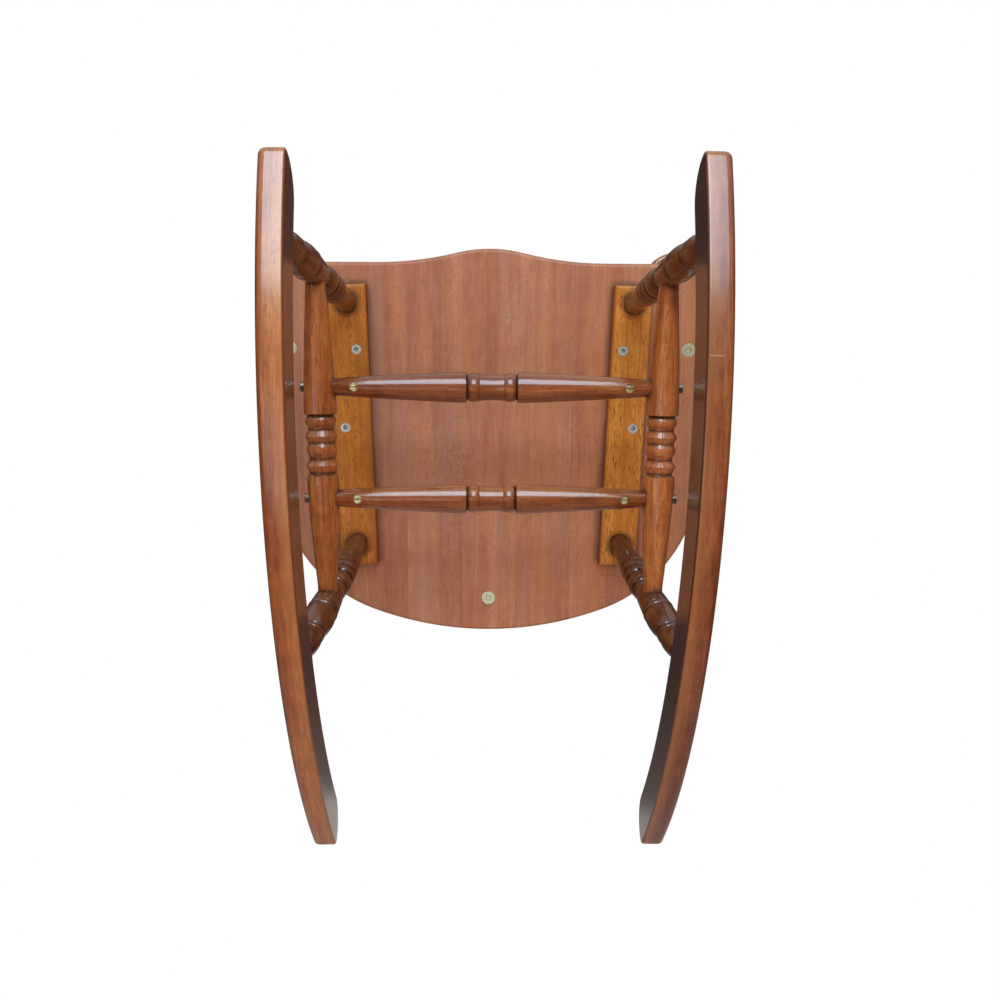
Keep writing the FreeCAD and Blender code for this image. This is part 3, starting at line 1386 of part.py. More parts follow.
def barrel_nuts():
    nuts = []
    half = mm("barrel_nut_length") / 2
    radius = radius_of("barrel_nut_diameter")
    for which in CROSS_Y:
        for middle in both_sides(nut_place(which)):
            barrel = cylinder("barrel", middle - UP * half, middle + UP * half, radius)
            across = hole("barrel_thread", middle - RIGHT * mm("barrel_nut_diameter"),
                          middle + RIGHT * mm("barrel_nut_diameter"),
                          radius_of("stretcher_bolt_diameter"))
            slot = doc.addObject("Part::Box", "barrel_slot")
            bind(slot, "Length", cell("barrel_nut_diameter") * 2)
            bind(slot, "Width", cell("barrel_nut_slot"))
            bind(slot, "Height", cell("barrel_nut_slot") * 2)
            slot.Placement = FreeCAD.Placement(
                middle - UP * (half + mm("barrel_nut_slot")) - RIGHT * mm("barrel_nut_diameter")
                - REAR * (mm("barrel_nut_slot") / 2), FreeCAD.Rotation()
            )
            nuts.append(drilled("barrel_nut", barrel, [across, slot]))
    return group("barrel_nuts", nuts)


def cleat_bolts():
    bolts = []
    sizes = (radius_of("cleat_bolt_diameter"), radius_of("cleat_bolt_head_diameter"))
    for place in cleat_bolt_places():
        for point in both_sides(place):
            neck = point + UP * mm("cleat_bolt_recess")
            head = neck - UP * mm("cleat_bolt_head_height")
            tip = V(point.x, point.y, SEAT_LOW + mm("cleat_bolt_seat_depth"))
            bolts.append(socket_bolt("cleat_bolt", head, tip, sizes,
                                     cell("cleat_bolt_head_height"), cell("cleat_bolt_key")))
    return group("cleat_bolts", bolts)


def seat_bolt(head_face, towards, diameter, reach):
    run = (towards - head_face).normalize()
    neck = head_face + run * mm("seat_bolt_recess")
    head = neck - run * mm("seat_bolt_head_height")
    sizes = (radius_of(diameter), radius_of("seat_bolt_head_diameter"))
    return socket_bolt("seat_bolt", head, head_face + run * mm(reach), sizes,
                       cell("seat_bolt_head_height"), cell("seat_bolt_key"))


def seat_bolts():
    bolts = []
    for head_face, top in zip(both_sides(POST_BOLT), both_sides(POST_TOP)):
        bolts.append(seat_bolt(head_face, top, "seat_bolt_diameter", "seat_bolt_reach"))
    top = back_spindle_line(0)[1]
    bolts.append(seat_bolt(BACK_BOLT, top, "back_bolt_diameter", "back_bolt_reach"))
    return group("seat_bolts", bolts)


def arm_screws():
    screws = []
    sizes = (radius_of("arm_screw_diameter"), radius_of("arm_screw_head_diameter"))
    for point in both_sides(V(bow_x_at(ARM_BOW_HEIGHT), ARM_BOW_HEIGHT, 0)):
        back, front, shoulder = arm_screw_line(point)
        head = beyond(shoulder, back, mm("arm_screw_head_height"))
        tip = beyond(shoulder, front, mm("arm_screw_reach"))
        screws.append(socket_bolt("arm_screw", head, tip, sizes,
                                  cell("arm_screw_head_height"), cell("arm_screw_diameter") * 0.6))
    return group("arm_screws", screws)


# The sub-parts: those that are drawn, then the twins of those on the right

drawn = []
drawn.append((drilled("seat", seat_blank(), seat_drills()), WOOD))
rights = []
rights.append(drilled("cleat_right", cleat_blank(), cleat_drills()))
for end_name in ("front", "rear"):
    rights.append(drilled("leg_%s_right" % end_name, leg_blank(end_name), leg_drills(end_name)))
rights.append(drilled("rocker_right", rocker_blank(), rocker_drills()))
rights.append(drilled("side_stretcher_right", side_blank(), side_drills()))
rights.append(arm_post())
rights.append(drilled("arm_right", arm_blank(), arm_drills()))
for spindle_number in range(ARM_SPINDLES):
    rights.append(arm_spindle(spindle_number))
for end_name in CROSS_Y:
    cross = drilled("cross_stretcher_" + end_name, cross_blank(end_name), cross_drills(end_name))
    drawn.append((cross, WOOD))
drawn.append((drilled("bow", bow_blank(), bow_drills()), WOOD))
for spindle_number, spindle_step in enumerate(spindle_steps()):
    drawn.append((back_spindle(spindle_number, spindle_step), WOOD))
drawn.append((stretcher_bolts(), STEEL))
drawn.append((barrel_nuts(), BRASS))
drawn.append((cleat_bolts(), STEEL))
drawn.append((seat_bolts(), BRASS))
drawn.append((arm_screws(), STEEL))
twins = [mirrored(right.Label.replace("right", "left"), right) for right in rights]
doc.recompute()

# The balance: the chair rolls back until its weight is over the line where the rockers touch

mass = 0
moment = V(0, 0, 0)
weighed = [(part, density) for part, density in drawn] + [(part, WOOD) for part in rights + twins]
for part, density in weighed:
    for solid in part.Shape.Solids:
        mass += solid.Volume * density
        moment += solid.CenterOfMass * (solid.Volume * density)
balance = moment / mass
roll_middle = V(0, 0, mm("rocker_radius"))
lean = math.degrees(math.atan2(balance.y, roll_middle.z - balance.z))
rolled = FreeCAD.Placement(CENTRE, FreeCAD.Rotation(RIGHT, -lean), roll_middle)
rocker = [part for part in rights if part.Label == "rocker_right"][0]
rocker_shape = rocker.Shape.copy()
rocker_shape.Placement = rolled.multiply(rocker_shape.Placement)
reach = rocker_shape.optimalBoundingBox(True, False)
rest = FreeCAD.Placement(V(0, -(reach.YMin + reach.YMax) / 2, 0), FreeCAD.Rotation())
rest = rest.multiply(rolled)
for part in [item for item, _ in drawn] + rights:
    part.Placement = rest.multiply(part.Placement)
doc.recompute()
print("balance %s, mass %.3f kg, lean %.4f degrees, moved %.4f"
      % (balance, mass * 1e-9, lean, -(reach.YMin + reach.YMax) / 2))

# Checks, then one file for each sub-part

for item in doc.Objects:
    if "Invalid" in item.State or "Error" in item.State:
        raise RuntimeError("%s failed: %s" % (item.Name, item.State))
parts = [item for item, _ in drawn] + rights + twins
os.makedirs("parts", exist_ok=True)
for part in parts:
    if part.Shape.isNull() or not part.Shape.isValid():
        raise RuntimeError("%s has a bad shape" % part.Label)
for part in parts:
    part.Shape.exportStep("parts/%s.step" % part.Label)
print(len(parts), "parts")
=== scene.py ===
import bpy
import math
import numpy
from mathutils import Matrix, Vector


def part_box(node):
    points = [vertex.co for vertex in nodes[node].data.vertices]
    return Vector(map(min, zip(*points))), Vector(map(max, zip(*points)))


# Looks of the hoop back rocking chair: lacquered and stained wood, plated steel and brass, seen from
# underneath on white. Lengths are in metres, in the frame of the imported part.

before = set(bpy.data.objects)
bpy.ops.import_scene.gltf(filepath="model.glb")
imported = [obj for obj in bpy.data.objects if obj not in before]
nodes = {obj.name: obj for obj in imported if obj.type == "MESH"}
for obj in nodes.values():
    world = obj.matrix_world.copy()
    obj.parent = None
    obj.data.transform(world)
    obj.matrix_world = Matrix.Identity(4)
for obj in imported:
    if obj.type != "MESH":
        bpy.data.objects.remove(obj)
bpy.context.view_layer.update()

# The chair's own axes. It leans back on its rockers, and its cross stretchers stay level with the
# seat, so the line between their middles points to its rear. Places under, behind or beside the
# middle of the front cross stretcher are given along these axes.
STRETCHER_HEIGHT = 0.190
STRETCHER_AHEAD = 0.0535
ROCKER_RADIUS = 0.800
SEAT_UNDERSIDE = 0.342


def middle_of(node):
    low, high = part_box(node)
    return (low + high) / 2


RIGHT = Vector((1, 0, 0))
HUB = middle_of("cross_stretcher_front")
REAR = (middle_of("cross_stretcher_rear") - HUB).normalized()
UP = RIGHT.cross(REAR)


def along_chair(right, rear, up):
    """A direction along the chair's own axes, in the row frame."""
    return right * RIGHT + rear * REAR + up * UP


def chair_point(right, rear, up):
    """A place in the row frame, from its place in the chair with its seat level."""
    return HUB + along_chair(right, rear + STRETCHER_AHEAD, up - STRETCHER_HEIGHT)


# Camera: its lens in pixels and millimetres, its place along the chair's axes, its turns in radians
# and the shift of its frame as a share of the picture's width
IMAGE_WIDTH = 1000
FOCAL_PIXELS = 871
SENSOR_WIDTH = 36
CAMERA_PLACE = (-0.0199, -0.0660, -0.8328)
CAMERA_PITCH = 0.1407
CAMERA_YAW = 0.0138
CAMERA_ROLL = 0.0036
FRAME_SHIFT = 0.0136
CLIP_END = 50


def add_camera():
    """The camera under the chair, looking up at the seat, with the chair's front at the top."""
    data = bpy.data.cameras.new("camera")
    data.sensor_width = SENSOR_WIDTH
    data.lens = SENSOR_WIDTH * FOCAL_PIXELS / IMAGE_WIDTH
    data.shift_x = FRAME_SHIFT
    data.clip_end = CLIP_END
    ahead = along_chair(math.sin(CAMERA_YAW),
                        math.sin(CAMERA_PITCH) * math.cos(CAMERA_YAW),
                        math.cos(CAMERA_PITCH) * math.cos(CAMERA_YAW))
    rough_top = along_chair(0, -math.cos(CAMERA_PITCH), math.sin(CAMERA_PITCH))
    top = (rough_top - rough_top.dot(ahead) * ahead).normalized()
    side = ahead.cross(top)
    rolled_side = math.cos(CAMERA_ROLL) * side + math.sin(CAMERA_ROLL) * top
    rolled_top = math.cos(CAMERA_ROLL) * top - math.sin(CAMERA_ROLL) * side
    camera = bpy.data.objects.new("camera", data)
    turn = Matrix((rolled_side, rolled_top, -ahead)).transposed()
    camera.matrix_world = Matrix.Translation(chair_point(*CAMERA_PLACE)) @ turn.to_4x4()
    bpy.context.scene.collection.objects.link(camera)
    bpy.context.scene.camera = camera


# Light. The fades are stretches of a direction's y, which is -1 towards the front.
WORLD_LEVEL = 0.13
WORLD_TINT = (1.0, 0.97, 0.94)
REFLECTED_LOW = 0.05
REFLECTED_BEHIND = 0.35
FRONT_FADE = (-0.85, -0.15)
BEHIND_FADE = (0.30, 0.85)
AIM = Vector((0, 0, 0.30))

# name: direction from the chair, distance, width, height, radiance, colour, seen in reflections
LAMPS = {
    "window_front": ((0.0, -0.80, -0.60), 3.4, 2.1, 2.2, 7.4, (0.62, 0.85, 1.0), True),
    "softbox_left_below": ((-0.43, -0.08, -0.90), 3.0, 1.1, 2.6, 0.9, (0.90, 0.94, 1.0), True),
    "softbox_below": ((0.12, 0.10, -1.0), 3.0, 3.4, 3.4, 1.60, (1.0, 0.94, 0.86), False),
    "softbox_rear_above": ((0.10, 0.80, 0.60), 2.8, 2.0, 1.2, 0.45, (0.98, 1.0, 0.98), True),
    "softbox_high": ((0, -0.05, 1.0), 3.0, 3.4, 3.4, 1.5, (1.0, 0.98, 0.96), False),
}


def add_lamp(name, direction, distance, width, height, radiance, tint, reflected):
    data = bpy.data.lights.new(name, "AREA")
    data.shape = "RECTANGLE"
    data.size = width
    data.size_y = height
    data.energy = radiance * math.pi * width * height
    data.color = tint
    lamp = bpy.data.objects.new(name, data)
    out = Vector(direction).normalized()
    lamp.location = AIM + out * distance
    lamp.rotation_euler = out.to_track_quat("Z", "Y").to_euler()
    lamp.visible_camera = False
    lamp.visible_glossy = reflected
    bpy.context.scene.collection.objects.link(lamp)


def level_by_bearing(tree, bearing, fade, start, end):
    """A level that goes smoothly from start to end over a stretch of the bearing."""
    node = tree.nodes.new("ShaderNodeMapRange")
    node.interpolation_type = "SMOOTHSTEP"
    tree.links.new(bearing, node.inputs["Value"])
    for name, value in zip(("From Min", "From Max", "To Min", "To Max"), (*fade, start, end)):
        node.inputs[name].default_value = value
    return node.outputs[0]


def add_world():
    """White to the camera. In reflections it is white towards the front, as beside a window, mid
    grey behind and dim elsewhere. On everything else it sheds one plain level of light."""
    world = bpy.data.worlds.new("surround")
    world.use_nodes = True
    tree = world.node_tree
    tree.nodes.clear()
    path = tree.nodes.new("ShaderNodeLightPath")
    outward = tree.nodes.new("ShaderNodeTexCoord")
    bearing = tree.nodes.new("ShaderNodeSeparateXYZ")
    tree.links.new(outward.outputs["Generated"], bearing.inputs[0])
    front = level_by_bearing(tree, bearing.outputs["Y"], FRONT_FADE, 1, REFLECTED_LOW)
    behind = level_by_bearing(tree, bearing.outputs["Y"], BEHIND_FADE, 0, REFLECTED_BEHIND)
    around = tree.nodes.new("ShaderNodeMath")
    around.operation = "MAXIMUM"
    tree.links.new(front, around.inputs[0])
    tree.links.new(behind, around.inputs[1])
    level = tree.nodes.new("ShaderNodeMapRange")
    tree.links.new(path.outputs["Is Glossy Ray"], level.inputs["Value"])
    level.inputs["To Min"].default_value = WORLD_LEVEL
    tree.links.new(around.outputs[0], level.inputs["To Max"])
    seen = tree.nodes.new("ShaderNodeMath")
    seen.operation = "MAXIMUM"
    tree.links.new(path.outputs["Is Camera Ray"], seen.inputs[0])
    tree.links.new(path.outputs["Is Transmission Ray"], seen.inputs[1])
    lit = tree.nodes.new("ShaderNodeBackground")
    lit.inputs["Color"].default_value = (*WORLD_TINT, 1)
    tree.links.new(level.outputs[0], lit.inputs["Strength"])
    white = tree.nodes.new("ShaderNodeBackground")
    white.inputs["Color"].default_value = (1, 1, 1, 1)
    white.inputs["Strength"].default_value = 1
    choice = tree.nodes.new("ShaderNodeMixShader")
    tree.links.new(seen.outputs[0], choice.inputs[0])
    tree.links.new(lit.outputs[0], choice.inputs[1])
    tree.links.new(white.outputs[0], choice.inputs[2])
    surface = tree.nodes.new("ShaderNodeOutputWorld")
    tree.links.new(choice.outputs[0], surface.inputs["Surface"])
    bpy.context.scene.world = world


FLOOR_REACH = 14.0
FLOOR_COLOUR = (0.86, 0.86, 0.86)
FLOOR_GLOW = 0.36


def add_floor():
    """A pale floor with the chair's shadow. Only its top shows: from underneath it lets the camera
    through, and it doesn't shade what stands on it from the lamps below."""
    mesh = bpy.data.meshes.new("floor")
    corners = [(-1, -1, 0), (1, -1, 0), (1, 1, 0), (-1, 1, 0)]
    mesh.from_pydata([[FLOOR_REACH * c for c in corner] for corner in corners], [], [(0, 1, 2, 3)])
    floor = bpy.data.objects.new("floor", mesh)
    bpy.context.scene.collection.objects.link(floor)
    material = bpy.data.materials.new("floor_pale")
    material.use_nodes = True
    tree = material.node_tree
    tree.nodes.clear()
    path = tree.nodes.new("ShaderNodeLightPath")
    side = tree.nodes.new("ShaderNodeNewGeometry")
    front = tree.nodes.new("ShaderNodeMath")
    front.operation = "SUBTRACT"
    tree.links.new(path.outputs["Is Camera Ray"], front.inputs[0])
    tree.links.new(side.outputs["Backfacing"], front.inputs[1])
    clear = tree.nodes.new("ShaderNodeBsdfTransparent")
    pale = tree.nodes.new("ShaderNodeBsdfDiffuse")
    pale.inputs["Color"].default_value = (*FLOOR_COLOUR, 1)
    glow = tree.nodes.new("ShaderNodeEmission")
    glow.inputs["Strength"].default_value = FLOOR_GLOW
    bright = tree.nodes.new("ShaderNodeAddShader")
    tree.links.new(pale.outputs[0], bright.inputs[0])
    tree.links.new(glow.outputs[0], bright.inputs[1])
    choice = tree.nodes.new("ShaderNodeMixShader")
    tree.links.new(front.outputs[0], choice.inputs[0])
    tree.links.new(clear.outputs[0], choice.inputs[1])
    tree.links.new(bright.outputs[0], choice.inputs[2])
    surface = tree.nodes.new("ShaderNodeOutputMaterial")
    tree.links.new(choice.outputs[0], surface.inputs["Surface"])
    floor.data.materials.append(material)


SHELTER_SAMPLES = 6
EDGE_SAMPLES = 4


class Finish:
    """A material's node tree with short calls for the nodes that the finishes share. Values that
    vary over the surface come from nodes, and constants are set on the shader's own sockets. A fade
    is the four numbers that rise takes: low, high, bottom and top."""

    def __init__(self, name, **constants):
        self.material = bpy.data.materials.new(name)
        self.material.use_nodes = True
        self.tree = self.material.node_tree
        self.shader = self.tree.nodes["Principled BSDF"]
        for socket, value in constants.items():
            self.shader.inputs[socket.replace("_", " ")].default_value = value
        self.place = self.node("ShaderNodeTexCoord").outputs["Object"]

    def node(self, kind, *values, **settings):
        node = self.tree.nodes.new(kind)
        for key, value in settings.items():
            setattr(node, key, value)
        for number, value in enumerate(values):
            if isinstance(value, bpy.types.NodeSocket):
                self.tree.links.new(value, node.inputs[number])
            else:
                node.inputs[number].default_value = value
        return node

    def math(self, operation, *values, clamp=False):
        return self.node("ShaderNodeMath", *values, operation=operation, use_clamp=clamp).outputs[0]

    def length(self, first, second):
        """The length of a vector from its two parts at right angles."""
        return self.math("SQRT", self.math("ADD", self.math("MULTIPLY", first, first),
                                           self.math("MULTIPLY", second, second)))

    def combine(self, x, y, z):
        return self.node("ShaderNodeCombineXYZ", x, y, z).outputs[0]

    def split(self, vector):
        return self.node("ShaderNodeSeparateXYZ", vector).outputs

    def mapped(self, middle, turn):
        """The surface's place in a frame of its own, with its middle and turn in the row frame."""
        node = self.node("ShaderNodeMapping", self.place, vector_type="TEXTURE")
        node.inputs["Location"].default_value = middle
        node.inputs["Rotation"].default_value = turn.to_euler()
        return node.outputs[0]

    def noise(self, vector, scales, detail=2.0, roughness=0.5, distortion=0.0, lift=(0, 0, 0)):
        """Noise between 0 and 1 with so many features a metre along each axis."""
        place = self.node("ShaderNodeMapping", vector, lift, (0, 0, 0), scales).outputs[0]
        node = self.node("ShaderNodeTexNoise", noise_dimensions="3D", normalize=True)
        self.tree.links.new(place, node.inputs["Vector"])
        node.inputs["Scale"].default_value = 1
        node.inputs["Detail"].default_value = detail
        node.inputs["Roughness"].default_value = roughness
        node.inputs["Distortion"].default_value = distortion
        return node.outputs["Fac"]

    def rise(self, value, low, high, bottom=0.0, top=1.0):
        """bottom below low, top above high, and smooth between."""
        node = self.node("ShaderNodeMapRange", value, low, high, bottom, top,
                         interpolation_type="SMOOTHSTEP")
        return node.outputs[0]

    def ramp(self, value, *stops):
        node = self.node("ShaderNodeValToRGB", value)
        points = node.color_ramp.elements
        while len(points) < len(stops):
            points.new(0.5)
        for point, (share, colour) in zip(points, stops):
            point.position = share
            point.color = (*colour, 1)
        return node.outputs[0]

    def mix(self, share, below, above, blend="MIX"):
        node = self.node("ShaderNodeMix", data_type="RGBA", blend_type=blend)
        for name, value in (("Factor_Float", share), ("A_Color", below), ("B_Color", above)):
            socket = next(s for s in node.inputs if s.identifier == name)
            if isinstance(value, bpy.types.NodeSocket):
                self.tree.links.new(value, socket)
            elif isinstance(value, tuple):
                socket.default_value = (*value, 1)
            else:
                socket.default_value = value
        return next(s for s in node.outputs if s.identifier == "Result_Color")

    def shelter(self, distance, alone):
        """1 in the open, and towards 0 in grooves, corners and joints closer than the distance."""
        node = self.node("ShaderNodeAmbientOcclusion", samples=SHELTER_SAMPLES, only_local=alone)
        node.inputs["Distance"].default_value = distance
        return node.outputs["AO"]

    def edge(self, radius):
        """0 on flats, and towards 1 on edges tighter than the radius."""
        bevel = self.node("ShaderNodeBevel", radius, samples=EDGE_SAMPLES).outputs[0]
        plain = self.node("ShaderNodeNewGeometry").outputs["Normal"]
        turn = self.node("ShaderNodeVectorMath", bevel, plain, operation="DOT_PRODUCT")
        return self.math("SUBTRACT", 1.0, turn.outputs["Value"], clamp=True)

    def worn_and_highlit(self, colour, radius, fade, bare_and_highlit):
        """The colour, with the bare one where an edge tighter than the radius is worn, which also
        paints a highlight along the edge.
        """
        return self.mix(self.rise(self.edge(radius), *fade), colour, bare_and_highlit)

    def along_stick(self, node, place):
        """0 at the low or front end of a stick and 1 at its other end."""
        low, high, _ = stick_profile(node)
        z = self.split(place)[2]
        return self.math("DIVIDE", self.math("SUBTRACT", z, low), high - low)

    def complete(self, colour, roughness, height, depth):
        """The finished material, with its relief as deep as the depth in metres."""
        bump = self.node("ShaderNodeBump")
        bump.inputs["Strength"].default_value = 1
        bump.inputs["Distance"].default_value = depth
        self.tree.links.new(height, bump.inputs["Height"])
        self.tree.links.new(colour, self.shader.inputs["Base Color"])
        self.tree.links.new(roughness, self.shader.inputs["Roughness"])
        self.tree.links.new(bump.outputs[0], self.shader.inputs["Normal"])
        return self.material


# A stick this close to the chair's left-right line is turned about its up line instead
STEEP = 0.7


def main_axes(node):
    """The middle of a piece and the turn to a frame whose z runs along its longest stretch."""
    points = numpy.array([v.co for v in nodes[node].data.vertices])
    middle = (points.min(0) + points.max(0)) / 2
    _, _, rows = numpy.linalg.svd(points - points.mean(0), full_matrices=False)
    along = Vector(rows[0])
    if along[max(range(3), key=lambda axis: abs(along[axis]))] < 0:
        along = -along
    side = RIGHT if abs(along.x) < STEEP else UP
    side = (side - side.dot(along) * along).normalized()
    return Vector(middle), Matrix((side, along.cross(side), along)).transposed()


# Turned sticks: the step of their profile, and how far about, how deep and how wide a groove is
PROFILE_STEP = 0.001
GROOVE_REACH = 0.006
GROOVE_DEPTH = 0.0006
GROOVE_WIDTH = 0.0022
MOST_GROOVES = 10
RING_POINTS = 10


def stick_profile(node):
    """The ends of a stick along its own axis, and its radius at steps between them."""
    middle, turn = main_axes(node)
    points = [turn.transposed() @ (v.co - middle) for v in nodes[node].data.vertices]
    low, high = min(p.z for p in points), max(p.z for p in points)
    rings = {}
    for p in points:
        rings.setdefault(round((p.z - low) / PROFILE_STEP), []).append(math.hypot(p.x, p.y))
    return low, high, {step: max(ring) for step, ring in rings.items() if len(ring) >= RING_POINTS}


def groove_stops(node):
    """Ramp stops along a stick that are 1 where it is narrower than on both sides, and 0 between."""
    low, high, radii = stick_profile(node)
    reach = round(GROOVE_REACH / PROFILE_STEP)
    places = []
    for step, radius in sorted(radii.items()):
        before = [radii[s] for s in range(step - reach, step) if s in radii]
        after = [radii[s] for s in range(step + 1, step + reach + 1) if s in radii]
        if before and after and min(max(before), max(after)) > radius + GROOVE_DEPTH:
            if radius <= min(before[-2:] + after[:2]):
                places.append(step * PROFILE_STEP / (high - low))
    width = GROOVE_WIDTH / (high - low)
    apart = [place for number, place in enumerate(places)
             if number == 0 or place - places[number - 1] > width]
    stops = [(0.0, (0, 0, 0))]
    for place in apart[:MOST_GROOVES]:
        stops += [(max(place - width, stops[-1][0]), (0, 0, 0)), (place, (1, 1, 1)),
                  (place + width, (0, 0, 0))]
    return stops


# Grain shared by the woods: features a metre across the grain, across it again, and along it
DRIFT = (16, 16, 1.6)
STREAKS = (85, 85, 3.5)
FIBRES = (400, 400, 32)
PORES = (900, 900, 130)
CURL = (40, 40, 45)
SEED_STEP = (1.7, 2.3, 0.9)

# How much each of them weighs in the choice of a tone, and where on that scale the three tones are
DRIFT_SHARE = 0.38
STREAK_SHARE = 0.34
CURL_SHARE = 0.12
FIBRE_SHARE = 0.20
TONE_PLACES = (0.42, 0.53, 0.64)

# Where the pores' noise becomes a pore, how the streaks thin the pores out, where shelter becomes
# painted shade in a groove, and how much the fibres and the pores add to the relief
PORE_FADE = (0.59, 0.69)
PORE_STREAK_FADE = (0.35, 0.6, 0.35, 1.0)
GROOVE_SHADE_FADE = (0.58, 0.99, 0.95, 0.0)
FIBRE_HEIGHT = 0.3
PORE_HEIGHT = 0.7


def wood(finish, grain, tones, seed, pore_colour, pore_share, groove_shade, groove_reach, alone=False):
    """Stained wood: slow drift of colour, streaks, fibres, open pores and a faint curl, with painted
    shade in grooves, corners and joints. Gives the colour, the pores and the fibres."""
    lift = tuple(seed * step for step in SEED_STEP)
    drift = finish.noise(grain, DRIFT, 2, 0.5, 0.3, lift)
    streaks = finish.noise(grain, STREAKS, 4, 0.6, 0.4, lift)
    fibres = finish.noise(grain, FIBRES, 2, 0.55, 0.0, lift)
    curl = finish.noise(grain, CURL, 2, 0.5, 0.6, lift)
    blend = finish.math("MULTIPLY_ADD", drift, DRIFT_SHARE,
                        finish.math("MULTIPLY", streaks, STREAK_SHARE))
    blend = finish.math("MULTIPLY_ADD", curl, CURL_SHARE, blend)
    blend = finish.math("MULTIPLY_ADD", fibres, FIBRE_SHARE, blend)
    colour = finish.ramp(blend, *zip(TONE_PLACES, tones))
    pores = finish.rise(finish.noise(grain, PORES, 1, 0.4, 0.0, lift), *PORE_FADE)
    pores = finish.math("MULTIPLY", pores, finish.rise(streaks, *PORE_STREAK_FADE))
    colour = finish.mix(finish.math("MULTIPLY", pores, pore_share), colour, pore_colour)
    # Painted shade: darker in grooves, corners and joints, where ambient occlusion finds close
    # surfaces
    painted_shade = finish.rise(finish.shelter(groove_reach, alone), *GROOVE_SHADE_FADE)
    colour = finish.mix(painted_shade, colour, groove_shade)
    return colour, pores, fibres


def wood_height(finish, pores, fibres):
    return finish.math("SUBTRACT", finish.math("MULTIPLY", fibres, FIBRE_HEIGHT),
                       finish.math("MULTIPLY", pores, PORE_HEIGHT))


LACQUER_TONES = ((0.165, 0.036, 0.010), (0.310, 0.088, 0.025), (0.480, 0.175, 0.050))
LACQUER_PORE = (0.070, 0.016, 0.007)
# The groove colour is painted shade
LACQUER_GROOVE_SHADE = (0.020, 0.005, 0.003)


def toned(shares):
    """The lacquer's tones with their red, green and blue each changed by a share."""
    return tuple(tuple(level * share for level, share in zip(tone, shares)) for tone in LACQUER_TONES)


# The first word of a stick's name chooses its tones, and any other stick has the lacquer's own.
# The legs' darker tones are partly stain and partly painted shade.
STICK_TONES = {
    "leg": toned((0.60, 0.54, 0.52)),
    "cross": toned((0.94, 0.80, 0.66)),
    "side": toned((1.42, 1.32, 1.08)),
}
STICK_COAT = {"Coat_Weight": 1.0, "Coat_Roughness": 0.14, "Coat_IOR": 1.6, "Specular_IOR_Level": 0.05}
STICK_EDGE = 0.0012
STICK_WEAR_AND_HIGHLIGHT = (0.04, 0.25, 0.0, 0.35)
STICK_ROUGHNESS = 0.36
STICK_RELIEF = 0.00002
# How much painted shade darkens a groove of the turned profile
GROOVE_SHADE_SHARE = 0.88
LACQUER_FIBRE_ROUGHNESS = 0.12


def lacquered(node, seed):
    """Gloss reddish-brown lacquer on a turned or sawn stick, with its grain along the stick."""
    finish = Finish(node + "_lacquer", **STICK_COAT)
    tones = STICK_TONES.get(node.split("_")[0], LACQUER_TONES)
    grain = finish.mapped(*main_axes(node))
    colour, pores, fibres = wood(finish, grain, tones, seed, LACQUER_PORE, 0.5, LACQUER_GROOVE_SHADE,
                                 0.010)
    if node not in ("arm_left", "arm_right"):
        # Painted shade in the grooves of the stick's turned profile
        groove_shade_ramp = finish.ramp(finish.along_stick(node, grain), *groove_stops(node))
        colour = finish.mix(finish.math("MULTIPLY", groove_shade_ramp, GROOVE_SHADE_SHARE), colour, LACQUER_GROOVE_SHADE)
    # Edges: wear, and a painted highlight
    colour = finish.worn_and_highlit(colour, STICK_EDGE, STICK_WEAR_AND_HIGHLIGHT, tones[2])
    roughness = finish.math("MULTIPLY_ADD", fibres, LACQUER_FIBRE_ROUGHNESS, STICK_ROUGHNESS)
    return finish.complete(colour, roughness, wood_height(finish, pores, fibres), STICK_RELIEF)


ROCKER_TONES = {"rocker_left": toned((1.16, 1.06, 0.92)), "rocker_right": toned((0.92, 0.78, 0.68))}
ROCKER_COAT = {"Coat_Weight": 1.0, "Coat_Roughness": 0.20, "Coat_IOR": 1.7, "Specular_IOR_Level": 0.05}
ROCKER_AMBER = (0.440, 0.150, 0.042)
# Painted shade on each rocker's flanks, deeper on the right one
ROCKER_FLANK_SHADES = {"rocker_left": (0.190, 0.044, 0.014), "rocker_right": (0.085, 0.020, 0.009)}

# Fades across a rocker, in metres from its middle: painted shade towards the outer edge, amber
# towards the inner edge, and painted shade on the flanks
ROCKER_OUTER_SHADE = (0.005, 0.012, 0.0, 0.45)
ROCKER_INNER = (-0.010, 0.001, 0.40, 0.0)
ROCKER_FLANK_SHADE_FADE = (0.0120, 0.0136, 0.0, 0.90)

# Its scarf joint: the place along the arc, the slant, the line's fade and its two ends' fades
SCARF_PLACE = -0.100
SCARF_SLANT = -0.06
SCARF_LINE = (0.0002, 0.0009, 0.5, 0.0)
SCARF_START = (-0.0118, -0.0108)
SCARF_END = (0.0, 0.004, 1.0, 0.0)
SCARF_GLUE = (0.56, 0.36, 0.26)

BROAD_EDGE = 0.003
ROCKER_WEAR_AND_HIGHLIGHT = (0.02, 0.30, 0.0, 0.35)
ROCKER_ROUGHNESS = 0.40
BENT_RELIEF = 0.00006


